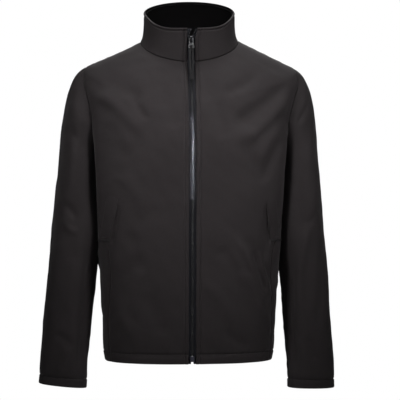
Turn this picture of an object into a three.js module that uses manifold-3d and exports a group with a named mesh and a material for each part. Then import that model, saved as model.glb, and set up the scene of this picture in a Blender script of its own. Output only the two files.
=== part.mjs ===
// A zipped softshell jacket, worn by nobody: stand collar, set-in sleeves, slanted welt pockets.
// Millimetres, +Z up, -Y to the front. Left and right are the wearer's, so the right side is at -X.
// The origin lies between the shoulders, at the height where the collar meets the shoulder seams.
import * as THREE from 'three';
import Module from 'manifold-3d';
import { mergeVertices } from 'three/addons/utils/BufferGeometryUtils.js';

const wasm = await Module();
wasm.setup();

// Cloth
const WALL = 2;
const SEAM = 0.3;
const HEM = -660;
const NECK = 4;

// Body rings by the height of their side point: half width, front and back depth, how far the side is
// pressed in by the sleeve and over how many degrees each way, height of the front and back middles,
// and how round the shoulder turns.
const BODY = {
  columns: ['side', 'width', 'front', 'back', 'square', 'pressed', 'pressTurn', 'frontHigh', 'backHigh', 'crown'],
  rows: [
    [-660, 173.5, 113, 109, 2.5, 0, 14, -660, -660, 2.0],
    [-640, 178, 113.7, 108.5, 2.5, 0, 14, -640, -640, 2.0],
    [-600, 180, 115, 107, 2.5, 0, 14, -600, -600, 2.0],
    [-520, 184, 117, 104, 2.5, 0, 14, -520, -520, 2.0],
    [-487, 185.3, 118, 103.4, 2.55, 0, 14, -487, -487, 2.0],
    [-450, 191, 119, 103, 2.65, 4.5, 14, -450, -450, 2.0],
    [-380, 199, 121, 106, 2.7, 13.5, 20, -380, -380, 2.0],
    [-310, 210.5, 124, 112, 2.8, 23, 26, -310, -310, 2.0],
    [-250, 217.5, 126, 117, 2.8, 32.5, 27, -254, -250, 2.0],
    [-200, 220, 125, 120, 2.8, 27, 27, -214, -200, 1.9],
    [-160, 223, 122, 119, 2.7, 16, 27, -188, -160, 1.8],
    [-120, 225, 118, 115, 2.7, 6, 27, -166, -122, 1.8],
    [-80, 226, 114, 109, 2.6, 0, 27, -146, -86, 1.7],
    [-62, 222, 110, 104, 2.5, 0, 27, -132, -66, 1.7],
    [-50, 214, 107, 100, 2.5, 0, 27, -124, -54, 1.7],
    [-38, 189, 100, 90, 2.4, 0, 27, -104, -35, 1.6],
    [-21, 152, 91, 76, 2.3, 0, 27, -80, -14, 1.5],
    [-8, 125, 82, 62, 2.2, 0, 27, -60, 3, 1.35],
    [4, 101, 75, 48, 2.1, 0, 27, -44, 18, 1.2],
  ],
};

// The left shoulder sits a little wider and higher than the right one, from a ring up.
const SHOULDERS = {
  from: -170, over: 110, leftWider: 0.033, leftHigher: 0.03, rightLower: 0.015, fadeFrom: 90, fadeOver: 130,
};

// Collar rings from the neck seam, 0, to the top edge, 1.
const COLLAR = {
  columns: ['side', 'width', 'front', 'back', 'sideHigh', 'frontHigh', 'backHigh'],
  rows: [
    [0.0, 101, 75, 48, 4.3, -43.7, 18.3],
    [0.2, 96.5, 75.5, 49.5, 14, -30, 33],
    [0.5, 94, 75.3, 51, 33.5, -9, 56],
    [1.0, 93.7, 74.5, 53, 64, 25, 95],
  ],
};

// Armhole: an oval on the body, given by its middle and half height, and its reach in degrees of turn.
const ARMHOLE = { middle: -145, halfHeight: 95, reach: 31, steps: 24 };
const CORNER_STEP = 9;
const SLEEVE_START_GAP = 0.45;

// Sleeve sections by height: outer and inner side from the middle of the body, front and back.
const SLEEVE = {
  columns: ['side', 'outer', 'inner', 'front', 'back', 'square'],
  rows: [
    [-714, 309, 210.5, -50, 20, 2.3],
    [-660, 306.8, 206.6, -54, 25, 2.3],
    [-590, 301.9, 201.4, -58, 32, 2.3],
    [-520, 296, 195.1, -63, 40, 2.3],
    [-480, 292.2, 191, -65.5, 44.5, 2.3],
    [-450, 289.4, 188, -68, 49, 2.3],
    [-380, 283.3, 187.5, -72, 61, 2.2],
    [-310, 277.8, 189.2, -74, 73, 2.1],
    [-258, 272.5, 189, -74, 80, 2.1],
  ],
};
const BICEP = -258;
const RIGHT_CUFF = { high: -711, rise: 5.5, lean: 3, bicep: 0 };
const LEFT_CUFF = { high: -720, rise: -0.5, lean: -3, bicep: 2 };
const SHOULDER_DROP = 26;
const UNDERARM_DROP = 60;
const CAP_REACH = 0.25;
const ARM_HANG = 0.45;

// Side seams of the front and of the back, in degrees of turn from the middle front.
const SIDE_SEAM = {
  columns: ['side', 'front', 'back'],
  rows: [
    [-660, 64, 116],
    [-553, 61.5, 114],
    [-440, 54, 112],
    [-380, 60, 112],
    [-300, 66, 111.9],
    [-212, 68.1, 111.9],
  ],
};

// Pocket welts: lower and upper end, by height and distance of the front edge from the middle.
const WELT = { low: -413, lowX: 164, high: -308, highX: 147.5, width: 24, thick: 1.5, rows: 7 };

// The largest folds. Ends by x and height on the front (-1) or back (1) face; height is out of the cloth.
const BODY_FOLDS = {
  columns: ['face', 'x0', 'z0', 'x1', 'z1', 'spread', 'rise'],
  rows: [
    [-1, -176, -46, -84, -84, 12, 2.5],
    [-1, -182, -76, -90, -122, 14, -3],
    [-1, -198, -98, -92, -200, 16, 4],
    [-1, 204, -84, 76, -184, 15, -5],
    [-1, 210, -108, 90, -218, 16, 4.5],
    [-1, 180, -60, 110, -96, 12, 2.5],
    [-1, 132, -448, 168, -538, 9, 3.5],
    [-1, 158, -360, 150, -456, 16, -4],
    [-1, 76, -420, 158, -600, 14, 3],
    [-1, -120, -430, -150, -560, 18, -2.5],
    [1, -190, -110, -90, -190, 16, -4.5],
    [1, 186, -96, 96, -182, 16, -4.5],
    [1, -150, -330, -40, -420, 18, -4],
    [1, 160, -300, 60, -400, 18, -4],
    [1, -110, -430, 30, -470, 20, 3.5],
    [1, 120, -480, 20, -520, 18, -3],
  ],
};
const SLEEVE_FOLDS = {
  columns: ['face', 'x0', 'z0', 'x1', 'z1', 'spread', 'rise'],
  rows: [
    [-1, 250, -116, 212, -180, 14, 3],
    [-1, 262, -150, 222, -240, 14, -3],
    [-1, 262, -300, 256, -380, 16, 2.5],
    [-1, 235, -400, 245, -560, 16, -2.5],
    [1, 262, -160, 220, -230, 16, -3],
    [1, 270, -420, 215, -450, 16, -4],
    [1, 280, -470, 220, -500, 16, 3],
  ],
};

// Zip
const LIP = 7.5;
const TAPE = { reach: 14, near: WALL + 0.6, thick: 0.9, split: 0.7 };
const NECK_CURVE = 120;
const BODY_NECK_FRONT = -44;
const COIL = { half: 3.2, near: 0.15, far: 2.0 };
const COLLAR_TOP = 25;
const SLIDER = { low: -6, high: 10, half: 5.4, crown: 7, plate: 2, proud: 0.3 };
const BRIDGE = { half: 2.2, low: -5.2, high: 7.2, leg: 1.6, clear: 3.2, bar: 1.5 };
const HINGE = { high: 3, out: 1.6 };
const STOP = { top: -643.5, low: -655, half: 4.2, near: -1.3, far: 2.0 };
const NOTCH_TOP = -645;
const PULL_TILT = THREE.MathUtils.degToRad(11.5);
const TAB = { arm: 4.6, window: 3.0, windowLow: 9.5, low: 21, lowHalf: 6.2, thick: 1.4, pin: 0.8 };
const EYE = { half: 2.4, top: 14.5, low: 18.5 };
const TAIL = { top: 21.4, low: 87.5, half: 4.5, thick: 2.6, slotTop: 26, slotLow: 76, slotHalf: 1.2 };

const rad = THREE.MathUtils.degToRad;
const V = (x, y, z) => new THREE.Vector3(x, y, z);

function smooth(t) {
  const s = Math.min(1, Math.max(0, t));
  return s * s * (3 - 2 * s);
}

function mix(a, b, t) {
  return a + (b - a) * t;
}

// A named column of a table at a height, through its rows on one smooth curve.
function column(table, name, at) {
  const c = table.columns.indexOf(name);
  const rows = table.rows;
  const last = rows.length - 1;
  const h = Math.min(rows[last][0], Math.max(rows[0][0], at));
  let i = 0;
  while (i < last - 1 && h > rows[i + 1][0]) i += 1;
  const slope = (k) => {
    const before = rows[Math.max(0, k - 1)];
    const after = rows[Math.min(last, k + 1)];
    return (after[c] - before[c]) / (after[0] - before[0]);
  };
  const span = rows[i + 1][0] - rows[i][0];
  const t = (h - rows[i][0]) / span;
  const t2 = t * t;
  const t3 = t2 * t;
  return (2 * t3 - 3 * t2 + 1) * rows[i][c] + (t3 - 2 * t2 + t) * span * slope(i)
    + (3 * t2 - 2 * t3) * rows[i + 1][c] + (t3 - t2) * span * slope(i + 1);
}

// How far the folds of a table lift the cloth at a place on one face.
function foldRise(table, face, x, z) {
  let rise = 0;
  for (const [foldFace, x0, z0, x1, z1, spread, high] of table.rows) {
    if (foldFace !== face) continue;
    const dx = x1 - x0;
    const dz = z1 - z0;
    const along = ((x - x0) * dx + (z - z0) * dz) / (dx * dx + dz * dz);
    const t = Math.min(1, Math.max(0, along));
    const away = Math.hypot(x - x0 - t * dx, z - z0 - t * dz) / spread;
    rise += high * Math.exp(-away * away) * smooth(4 * t) * smooth(4 * (1 - t));
  }
  return rise;
}

// A point on the outside of the body, by its turn from the middle front in degrees and its ring.
function bodyPoint(turn, ring) {
  const get = (name) => column(BODY, name, ring);
  const s = Math.sin(rad(turn));
  const c = Math.cos(rad(turn));
  const power = get('square');
  const size = (Math.abs(s) ** power + Math.abs(c) ** power) ** (1 / power);
  const depth = c > 0 ? get('front') : get('back');
  const middle = c > 0 ? get('frontHigh') : get('backHigh');
  const fromSide = (Math.abs(turn) - 90) / get('pressTurn');
  const pressed = get('pressed') * Math.exp(-(fromSide ** 4));
  const z = mix(ring, middle, Math.abs(c) ** get('crown'));
  const point = V(get('width') * s / size - Math.sign(s) * pressed, -depth * c / size, z);
  const face = c > 0 ? -1 : 1;
  const calm = smooth(Math.abs(c) * 3) * smooth((Math.abs(point.x) - LIP) / 30);
  const rise = foldRise(BODY_FOLDS, face, point.x, z) * calm;
  return settled(point.add(V(s * rise, -c * rise, 0)), ring);
}

// A point moved as the shoulders sit, one a little wider and higher than the other.
function settled(point, ring) {
  const share = smooth((ring - SHOULDERS.from) / SHOULDERS.over);
  const left = point.x > 0;
  const near = 1 - smooth((Math.abs(point.x) - SHOULDERS.fadeFrom) / SHOULDERS.fadeOver);
  point.z += (left ? SHOULDERS.leftHigher : SHOULDERS.rightLower) * point.x * share * near;
  point.x *= left ? 1 + SHOULDERS.leftWider * share : 1;
  return point;
}

function collarPoint(turn, part) {
  const get = (name) => column(COLLAR, name, part);
  const s = Math.sin(rad(turn));
  const c = Math.cos(rad(turn));
  const power = 2.1;
  const size = (Math.abs(s) ** power + Math.abs(c) ** power) ** (1 / power);
  const level = Math.abs(c) ** 1.2;
  const dipped = Math.sin(Math.PI / 2 * Math.abs(c) ** 1.6);
  const share = c > 0 ? mix(level, dipped, part) : mix(level, Math.abs(c), part);
  const middle = c > 0 ? get('frontHigh') : get('backHigh');
  const depth = c > 0 ? get('front') : get('back');
  return settled(V(get('width') * s / size, -depth * c / size, mix(get('sideHigh'), middle, share)), NECK);
}

// Outward direction of a surface, from two short steps along it.
function outward(surface, u, v, side) {
  const du = surface(u + 0.4, v).sub(surface(u - 0.4, v));
  const dv = surface(u, v + side).sub(surface(u, v - side));
  return du.cross(dv).normalize();
}

// A closed wall between two grids of points of the same size.
function wallGeometry(outer, inner, around) {
  const rows = outer.length;
  const cols = outer[0].length;
  const index = [];
  const at = (layer, i, j) => (layer * rows + i) * cols + (j % cols);
  const quad = (a, b, c, d) => index.push(a, b, c, a, c, d);
  const spans = around ? cols : cols - 1;
  for (let i = 0; i < rows - 1; i += 1) {
    for (let j = 0; j < spans; j += 1) {
      quad(at(0, i, j), at(0, i, j + 1), at(0, i + 1, j + 1), at(0, i + 1, j));
      quad(at(1, i, j), at(1, i + 1, j), at(1, i + 1, j + 1), at(1, i, j + 1));
    }
  }
  for (let j = 0; j < spans; j += 1) {
    quad(at(0, 0, j), at(1, 0, j), at(1, 0, j + 1), at(0, 0, j + 1));
    const top = rows - 1;
    quad(at(0, top, j), at(0, top, j + 1), at(1, top, j + 1), at(1, top, j));
  }
  if (!around) {
    for (let i = 0; i < rows - 1; i += 1) {
      quad(at(0, i, 0), at(0, i + 1, 0), at(1, i + 1, 0), at(1, i, 0));
      const end = cols - 1;
      quad(at(0, i, end), at(1, i, end), at(1, i + 1, end), at(0, i + 1, end));
    }
  }
  const points = [...outer.flat(), ...inner.flat()];
  return closedGeometry(points, index);
}

// A geometry with its faces turned outward.
function closedGeometry(points, index) {
  let volume = 0;
  for (let k = 0; k < index.length; k += 3) {
    const [a, b, c] = [points[index[k]], points[index[k + 1]], points[index[k + 2]]];
    volume += a.dot(b.clone().cross(c));
  }
  if (volume < 0) index.reverse();
  const geometry = new THREE.BufferGeometry();
  const flat = points.flatMap((p) => [p.x, p.y, p.z]);
  geometry.setAttribute('position', new THREE.Float32BufferAttribute(flat, 3));
  geometry.setIndex(index);
  return geometry;
}

function solidOf(geometry) {
  geometry.deleteAttribute('normal');
  geometry.deleteAttribute('uv');
  const merged = mergeVertices(geometry, 1e-4);
  return new wasm.Manifold(new wasm.Mesh({
    numProp: 3,
    vertProperties: new Float32Array(merged.attributes.position.array),
    triVerts: new Uint32Array(merged.index.array),
  }));
}

function geometryOf(solid) {
  const mesh = solid.getMesh();
  const geometry = new THREE.BufferGeometry();
  geometry.setAttribute('position', new THREE.Float32BufferAttribute(mesh.vertProperties, 3));
  geometry.setIndex([...mesh.triVerts]);
  return geometry;
}

// Armhole points: on the body at one of the even steps round the oval, 0 at the shoulder, on to the front.
function armholeTurn(step) {
  return 90 - ARMHOLE.reach * Math.sin(2 * Math.PI * step / ARMHOLE.steps);
}

function armholeRing(step) {
  return ARMHOLE.middle + ARMHOLE.halfHeight * Math.cos(2 * Math.PI * step / ARMHOLE.steps);
}

// Rings shared by all body panels, so that their seams meet point for point.
const LOWER_ROWS = 17;
const CORNER_RING = armholeRing(CORNER_STEP);
const lowerRings = Array.from({ length: LOWER_ROWS }, (_, i) => mix(HEM, CORNER_RING, i / (LOWER_ROWS - 1)));
const armholeSteps = Array.from({ length: CORNER_STEP }, (_, i) => CORNER_STEP - 1 - i);
const shoulderRings = [-45, -38, -29.5, -21, -13, -6, NECK - 4, NECK];
const FRONT_COLUMNS = 12;
const BACK_COLUMNS = 20;

// Half the seam gap as an angle, so that neighbours stay apart by the same distance everywhere.
function seamTurn(turn, ring) {
  const perDegree = bodyPoint(turn + 0.5, ring).distanceTo(bodyPoint(turn - 0.5, ring));
  return SEAM / 2 / perDegree;
}

// Rows of a panel that reaches the armhole: each has its ring and the turn of its outer edge.
function panelRows(seamName) {
  const front = seamName === 'front';
  const beyond = (turn) => (front ? turn : 180 - turn);
  const rows = lowerRings.map((ring) => [ring, column(SIDE_SEAM, seamName, ring)]);
  for (const step of armholeSteps) rows.push([armholeRing(step), beyond(armholeTurn(step))]);
  for (const ring of shoulderRings) rows.push([ring, 90]);
  return rows.map(([ring, turn]) => [ring, turn + (front ? -1 : 1) * seamTurn(turn, ring)]);
}

function bodyWall(grid, side) {
  const outer = grid.map((row) => row.map(([turn, ring]) => bodyPoint(side * turn, ring)));
  const inner = grid.map((row, i) => row.map(([turn, ring], j) => {
    const normal = outward(bodyPoint, side * turn, ring, 1.5);
    return outer[i][j].clone().addScaledVector(normal, -WALL);
  }));
  return wallGeometry(outer, inner, false);
}

function frontPanel(side) {
  const grid = panelRows('front').map(([ring, edge]) => {
    const start = THREE.MathUtils.radToDeg(Math.asin(LIP / column(BODY, 'width', ring)));
    return Array.from({ length: FRONT_COLUMNS + 1 }, (_, j) => [mix(start, edge, j / FRONT_COLUMNS), ring]);
  });
  return bodyWall(grid, side);
}

function backPanel() {
  const grid = panelRows('back').map(([ring, edge]) => Array.from({ length: BACK_COLUMNS + 1 }, (_, j) => {
    const turn = mix(edge, 360 - edge, j / BACK_COLUMNS);
    return [turn, ring];
  }));
  const place = (turn, ring) => bodyPoint(turn > 180 ? turn - 360 : turn, ring);
  const outer = grid.map((row) => row.map(([turn, ring]) => place(turn, ring)));
  const inner = grid.map((row, i) => row.map(([turn, ring], j) => {
    const normal = outward(place, turn, ring, 1.5);
    return outer[i][j].clone().addScaledVector(normal, -WALL);
  }));
  return wallGeometry(outer, inner, false);
}

// A side panel ends at the underarm in the armhole's own points.
function sidePanel(side) {
  const steps = Array.from({ length: ARMHOLE.steps - 2 * CORNER_STEP + 1 }, (_, k) => CORNER_STEP + k);
  const first = armholeTurn(CORNER_STEP);
  const span = armholeTurn(ARMHOLE.steps - CORNER_STEP) - first;
  const grid = lowerRings.map((level, i) => steps.map((step) => {
    const share = (armholeTurn(step) - first) / span;
    const top = armholeRing(step) - SEAM;
    const ring = mix(HEM, top, i / (LOWER_ROWS - 1));
    const front = column(SIDE_SEAM, 'front', level);
    const back = column(SIDE_SEAM, 'back', level);
    const turn = mix(front + seamTurn(front, level), back - seamTurn(back, level), share);
    return [turn, ring];
  }));
  return bodyWall(grid, side);
}

// A point round a sleeve section: 0 is its outer side, 90 its front.
function sleeveSection(side, angle, high) {
  const get = (name) => column(SLEEVE, name, high);
  const cuff = side < 0 ? RIGHT_CUFF : LEFT_CUFF;
  const fallen = Math.max(0, (BICEP - high) / (BICEP - cuff.high));
  const lean = cuff.lean * fallen ** 2 + cuff.bicep * (1 - fallen) ** 3;
  const s = Math.sin(rad(angle));
  const c = Math.cos(rad(angle));
  const power = get('square');
  const size = (Math.abs(s) ** power + Math.abs(c) ** power) ** (1 / power);
  const middle = (get('outer') + get('inner')) / 2 + lean;
  const half = (get('outer') - get('inner')) / 2;
  const depthMiddle = (get('front') + get('back')) / 2;
  const depth = (get('back') - get('front')) / 2;
  const tilt = cuff.rise * smooth(fallen) * c;
  return V(side * (middle + half * c / size), depthMiddle - depth * s / size, high + tilt);
}

// The outside of a sleeve by its angle and its length: 0 to 1 is the cap, 1 to 2 the hanging part.
function sleevePoint(side, angle, length) {
  const step = angle / 360 * ARMHOLE.steps;
  let point;
  if (length <= 1) {
    const seam = bodyPoint(side * armholeTurn(step), armholeRing(step));
    const into = V(side * 226, 0, ARMHOLE.middle).sub(seam).normalize();
    const start = seam.addScaledVector(into, SLEEVE_START_GAP);
    const end = sleeveSection(side, angle, BICEP);
    const reach = end.distanceTo(start);
    const upper = ((1 + Math.cos(rad(angle))) / 2) ** 1.5;
    const drop = rad(mix(UNDERARM_DROP, SHOULDER_DROP, upper));
    const away = V(side * Math.cos(drop), 0, -Math.sin(drop));
    const leave = start.clone().addScaledVector(away, CAP_REACH * reach);
    const hang = end.clone().sub(sleeveSection(side, angle, BICEP - 20)).normalize();
    const arrive = end.clone().addScaledVector(hang, ARM_HANG * reach);
    point = new THREE.CubicBezierCurve3(start, leave, arrive, end).getPoint(length);
  } else {
    const cuff = side < 0 ? RIGHT_CUFF : LEFT_CUFF;
    point = sleeveSection(side, angle, mix(BICEP, cuff.high, length - 1));
  }
  const s = Math.sin(rad(angle));
  const face = s > 0 ? -1 : 1;
  const calm = smooth(Math.abs(s) * 2) * smooth(length * 3);
  const rise = foldRise(SLEEVE_FOLDS, face, Math.abs(point.x), point.z) * calm;
  return point.add(V(0, face * rise, 0));
}

function sleeve(side) {
  const cap = [0, 0.1, 0.22, 0.36, 0.52, 0.7, 0.86, 1];
  const arm = Array.from({ length: 12 }, (_, i) => 1 + (i + 1) / 12);
  const angles = Array.from({ length: ARMHOLE.steps }, (_, j) => 360 * j / ARMHOLE.steps);
  const surface = (angle, length) => sleevePoint(side, (angle + 360) % 360, length);
  const lengths = [...cap, ...arm];
  const outer = lengths.map((length) => angles.map((angle) => surface(angle, length)));
  const inner = lengths.map((length, i) => angles.map((angle, j) => {
    if (i === 0) {
      const into = V(side * 226, 0, ARMHOLE.middle).sub(outer[0][j]).normalize();
      return outer[0][j].clone().addScaledVector(into, WALL);
    }
    const span = Math.min(0.02, 2 - length + 1e-3);
    const along = surface(angle, Math.min(2, length + span)).sub(surface(angle, length - 0.02));
    const across = surface(angle + 2, length).sub(surface(angle - 2, length));
    const normal = across.cross(along).normalize().multiplyScalar(side);
    return outer[i][j].clone().addScaledVector(normal, -WALL);
  }));
  return wallGeometry(outer, inner, true);
}

// Zip edges by height: the lips, and the two tapes, which part at the slider and below the stop.
function lipEdge(side, z) {
  return side < 0 ? LIP : LIP + 5.5 * smooth((z + 2) / 26);
}

function tapeEdge(side, z) {
  const parted = 2.2 * smooth((z + 2) / 8);
  const leaning = (side < 0 ? 5 : 6) * smooth((z - 8) / 16);
  const notch = 1.9 * smooth((NOTCH_TOP - z) / 14);
  return side * (TAPE.split + parted + notch) + leaning;
}

const collarParts = [0, 0.2, 0.4, 0.6, 0.8, 1];

function collar() {
  const turns = (side) => Array.from({ length: FRONT_COLUMNS + 1 }, (_, j) => [side, j / FRONT_COLUMNS]);
  const backTurns = Array.from({ length: BACK_COLUMNS - 1 }, (_, j) => mix(90, 270, (j + 1) / BACK_COLUMNS));
  const surface = (turn, part) => collarPoint(turn, part);
  const rowTurns = (part) => {
    const z = collarPoint(0, part).z;
    const start = (side) => THREE.MathUtils.radToDeg(Math.asin(lipEdge(side, z) / column(COLLAR, 'width', part)));
    const left = turns(1).map(([, share]) => mix(start(1), 90, share));
    const right = turns(-1).map(([, share]) => mix(360 - start(-1), 270, share)).reverse();
    return [...left, ...backTurns, ...right];
  };
  const outer = collarParts.map((part) => rowTurns(part).map((turn) => surface(turn, part)));
  const inner = collarParts.map((part, i) => rowTurns(part).map((turn, j) => {
    const du = surface(turn + 0.4, part).sub(surface(turn - 0.4, part));
    const dv = surface(turn, Math.min(1, part + 0.05)).sub(surface(turn, Math.max(0, part - 0.05)));
    const normal = du.cross(dv).normalize();
    return outer[i][j].clone().addScaledVector(normal, -WALL);
  }));
  return wallGeometry(outer, inner, false);
}

// The line down the middle front that the zip follows, over the body's and the collar's own points.
const frontLine = [
  ...panelRows('front').map(([ring]) => bodyPoint(0, ring)),
  ...collarParts.slice(1).map((part) => collarPoint(0, part)),
];

function frontDepth(z) {
  let i = 0;
  while (i < frontLine.length - 2 && z > frontLine[i + 1].z) i += 1;
  const [low, high] = [frontLine[i], frontLine[i + 1]];
  return mix(low.y, high.y, (z - low.z) / (high.z - low.z));
}

// How far the front curves back at a distance from its middle, most on the collar.
function curveBack(x, z) {
  const radius = NECK_CURVE + 3 * Math.max(0, BODY_NECK_FRONT - z);
  return x * x / (2 * radius);
}

// A flat strip that follows the front line between two edges, from near to far behind it.
function strip(heights, edgeA, edgeB, near, far) {
  const place = (x, depth, z) => V(x, frontDepth(z) + curveBack(x, z) + depth, z);
  const face = (depth) => heights.map((z) => [place(edgeA(z), depth, z), place(edgeB(z), depth, z)]);
  return wallGeometry(face(near), face(far), false);
}

function heightsBetween(low, high) {
  const inside = frontLine.map((p) => p.z).filter((z) => z > low + 1 && z < high - 1);
  return [low, ...inside, high];
}

function tape(side) {
  const fine = [-657, -651, NOTCH_TOP, -2, 2, 6, 10, 14, 18];
  const all = heightsBetween(HEM + 0.5, COLLAR_TOP - 1.5);
  const heights = [...new Set([...all, ...fine])].sort((a, b) => a - b);
  const outside = () => side * TAPE.reach;
  const shape = (z) => tapeEdge(side, z);
  const reach = (z) => (side > 0 ? Math.max(outside(), tapeEdge(side, z) + 4) : outside());
  return strip(heights, shape, reach, TAPE.near, TAPE.near + TAPE.thick);
}

function coil() {
  const heights = heightsBetween(STOP.top + 0.4, SLIDER.low - 0.4);
  return strip(heights, () => -COIL.half, () => COIL.half, COIL.near, COIL.far);
}

// The two open halves of the coil above the slider.
function openCoil(side) {
  const heights = [SLIDER.high + 0.4, 14, 18, COLLAR_TOP - 3];
  const inside = (z) => tapeEdge(side, z) + side * 0.2;
  return strip(heights, inside, (z) => inside(z) + side * 2.8, COIL.near, COIL.far);
}

function plate(points, thick) {
  const shape = new THREE.Shape(points.map(([x, y]) => new THREE.Vector2(x, y)));
  return new THREE.ExtrudeGeometry(shape, { depth: thick, bevelEnabled: false });
}

// Stands a drawing of x and height up, with its front at y.
function stand(geometry, front, thick) {
  geometry.rotateX(Math.PI / 2);
  geometry.translate(0, front + thick, 0);
  return geometry;
}

function block(x0, x1, y0, y1, z0, z1) {
  const box = new THREE.BoxGeometry(x1 - x0, y1 - y0, z1 - z0);
  box.translate((x0 + x1) / 2, (y0 + y1) / 2, (z0 + z1) / 2);
  return box;
}

const sliderFace = frontDepth(HINGE.high) - SLIDER.proud - SLIDER.plate;

// The slider: a front plate with a crowned top, side flanges, a post, a back plate and a bridge.
function slider() {
  const { low, high, half, crown, plate: thick } = SLIDER;
  const outline = [
    [-half + 1, low], [half - 1, low], [half, low + 2], [half, 1], [crown, 6], [crown - 1, high],
    [2.2, high], [0, high - 3], [-2.2, high], [-crown + 1, high], [-crown, 6], [-half, 1], [-half, low + 2],
  ];
  const surface = frontDepth(HINGE.high);
  const tapeBack = TAPE.near + TAPE.thick;
  const front = solidOf(stand(plate(outline, thick), sliderFace, thick));
  const rear = solidOf(stand(plate(outline, 1.4), surface + tapeBack + 0.8, 1.4));
  const post = solidOf(block(-0.9, 0.9, sliderFace + 1, surface + tapeBack + 1.2, 4, 7));
  const flange = (side) => solidOf(block(
    Math.min(side * 3.8, side * 5.2), Math.max(side * 3.8, side * 5.2),
    sliderFace + 1, surface + COIL.far - 0.6, low + 1, 0,
  ));
  const { half: wide, leg, clear, bar } = BRIDGE;
  const arch = [
    [BRIDGE.low, -0.6], [BRIDGE.low, clear], [BRIDGE.low + 1.4, clear + bar], [BRIDGE.high - 1.4, clear + bar],
    [BRIDGE.high, clear], [BRIDGE.high, -0.6], [BRIDGE.high - leg, -0.6], [BRIDGE.high - leg, clear],
    [BRIDGE.low + leg, clear], [BRIDGE.low + leg, -0.6],
  ].map(([z, out]) => [sliderFace - out, z]);
  const bridge = plate(arch, 2 * wide);
  bridge.applyMatrix4(new THREE.Matrix4().makeBasis(V(0, 1, 0), V(0, 0, 1), V(1, 0, 0)));
  bridge.translate(-wide, 0, 0);
  return geometryOf(front.add(rear).add(post).add(flange(1)).add(flange(-1)).add(solidOf(bridge)));
}

// The pull hangs from the hinge in its own frame: x across, height down from the hinge, tilted out.
function hangFromHinge(geometry) {
  geometry.rotateX(-PULL_TILT);
  geometry.translate(0, sliderFace - HINGE.out, HINGE.high);
  return geometry;
}

function pullTab() {
  const { arm, window: gap, windowLow, low, lowHalf, thick, pin } = TAB;
  const shape = new THREE.Shape([
    [-arm, pin], [-arm, 1 - windowLow], [-lowHalf, -low + 2], [-lowHalf + 1.5, -low],
    [lowHalf - 1.5, -low], [lowHalf, -low + 2], [arm, 1 - windowLow], [arm, pin],
  ].map(([x, z]) => new THREE.Vector2(x, z)));
  const hole = (half, top, bottom) => new THREE.Path([
    [-half, -top], [half, -top], [half, -bottom], [-half, -bottom],
  ].map(([x, z]) => new THREE.Vector2(x, z)));
  shape.holes.push(hole(gap, pin, windowLow));
  shape.holes.push(hole(EYE.half, EYE.top, EYE.low));
  const geometry = new THREE.ExtrudeGeometry(shape, { depth: thick, bevelEnabled: false });
  return hangFromHinge(stand(geometry, -thick / 2, thick));
}

// The puller: a loop through the eye of the tab, then a slotted strap with a plain end.
function puller() {
  const { top, low, half, thick, slotTop, slotLow, slotHalf } = TAIL;
  const face = TAB.thick / 2 + SEAM;
  const loopHalf = EYE.half - 0.5;
  const strap = new THREE.Shape([
    [-half + 2, -top], [-half, -top - 3], [-half, -low + 1.5], [-half + 1.5, -low],
    [half - 1.5, -low], [half, -low + 1.5], [half, -top - 3], [half - 2, -top],
  ].map(([x, z]) => new THREE.Vector2(x, z)));
  strap.holes.push(new THREE.Path([
    [-slotHalf, -slotTop], [slotHalf, -slotTop], [slotHalf, -slotLow], [-slotHalf, -slotLow],
  ].map(([x, z]) => new THREE.Vector2(x, z))));
  const body = new THREE.ExtrudeGeometry(strap, { depth: thick, bevelEnabled: false });
  const loopTop = -EYE.top - 1;
  const parts = [
    stand(body, -thick / 2, thick),
    block(-loopHalf, loopHalf, -face - 1, -face, -top - 2, loopTop),
    block(-loopHalf, loopHalf, face, face + 1, -top - 2, loopTop),
    block(-loopHalf, loopHalf, -face - 1, face + 1, loopTop - 1.6, loopTop),
    block(-loopHalf, loopHalf, -face - 1, face + 1, -top - 2, -top),
  ].map(solidOf);
  const joined = parts.reduce((whole, piece) => whole.add(piece));
  return hangFromHinge(geometryOf(joined));
}

function zipStop() {
  const { top, low, half, near, far } = STOP;
  const heights = [low, low + 1.5, top - 1.5, top];
  const inset = (z) => (z === low || z === top ? 1 : 0);
  return strip(heights, (z) => -half + inset(z), (z) => half - inset(z), near, far);
}

// The turn from the middle front at which the body is a given distance out to the side.
function turnAt(x, ring) {
  let low = 0;
  let high = 89;
  for (let i = 0; i < 40; i += 1) {
    const middle = (low + high) / 2;
    if (bodyPoint(middle, ring).x < x) low = middle;
    else high = middle;
  }
  return low;
}

function pocketWelt(side) {
  const grid = Array.from({ length: WELT.rows }, (_, i) => {
    const share = i / (WELT.rows - 1);
    const ring = mix(WELT.low, WELT.high, share);
    const first = turnAt(mix(WELT.lowX, WELT.highX, share), ring);
    const perDegree = bodyPoint(first + 3, ring).distanceTo(bodyPoint(first, ring)) / 3;
    return [0, 0.25, 0.5, 0.75, 1].map((part) => [first + part * WELT.width / perDegree, ring]);
  });
  const face = (out) => grid.map((row) => row.map(([turn, ring]) => {
    const normal = outward(bodyPoint, side * turn, ring, 1.5);
    return bodyPoint(side * turn, ring).addScaledVector(normal, out);
  }));
  return wallGeometry(face(SEAM + 0.15 + WELT.thick), face(SEAM + 0.15), false);
}

const finish = {
  cloth: () => new THREE.MeshStandardMaterial({ color: 0x2b292b, roughness: 0.85, metalness: 0 }),
  tape: () => new THREE.MeshStandardMaterial({ color: 0x14161e, roughness: 0.7, metalness: 0 }),
  coil: () => new THREE.MeshStandardMaterial({ color: 0x17181c, roughness: 0.35, metalness: 0 }),
  metal: () => new THREE.MeshStandardMaterial({ color: 0xc2c4c8, roughness: 0.3, metalness: 1 }),
  puller: () => new THREE.MeshStandardMaterial({ color: 0x1b1b1d, roughness: 0.5, metalness: 0 }),
};

const jacket = new THREE.Group();

function addPiece(name, geometry, material) {
  const mesh = new THREE.Mesh(geometry, finish[material]());
  mesh.name = name;
  jacket.add(mesh);
}

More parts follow.
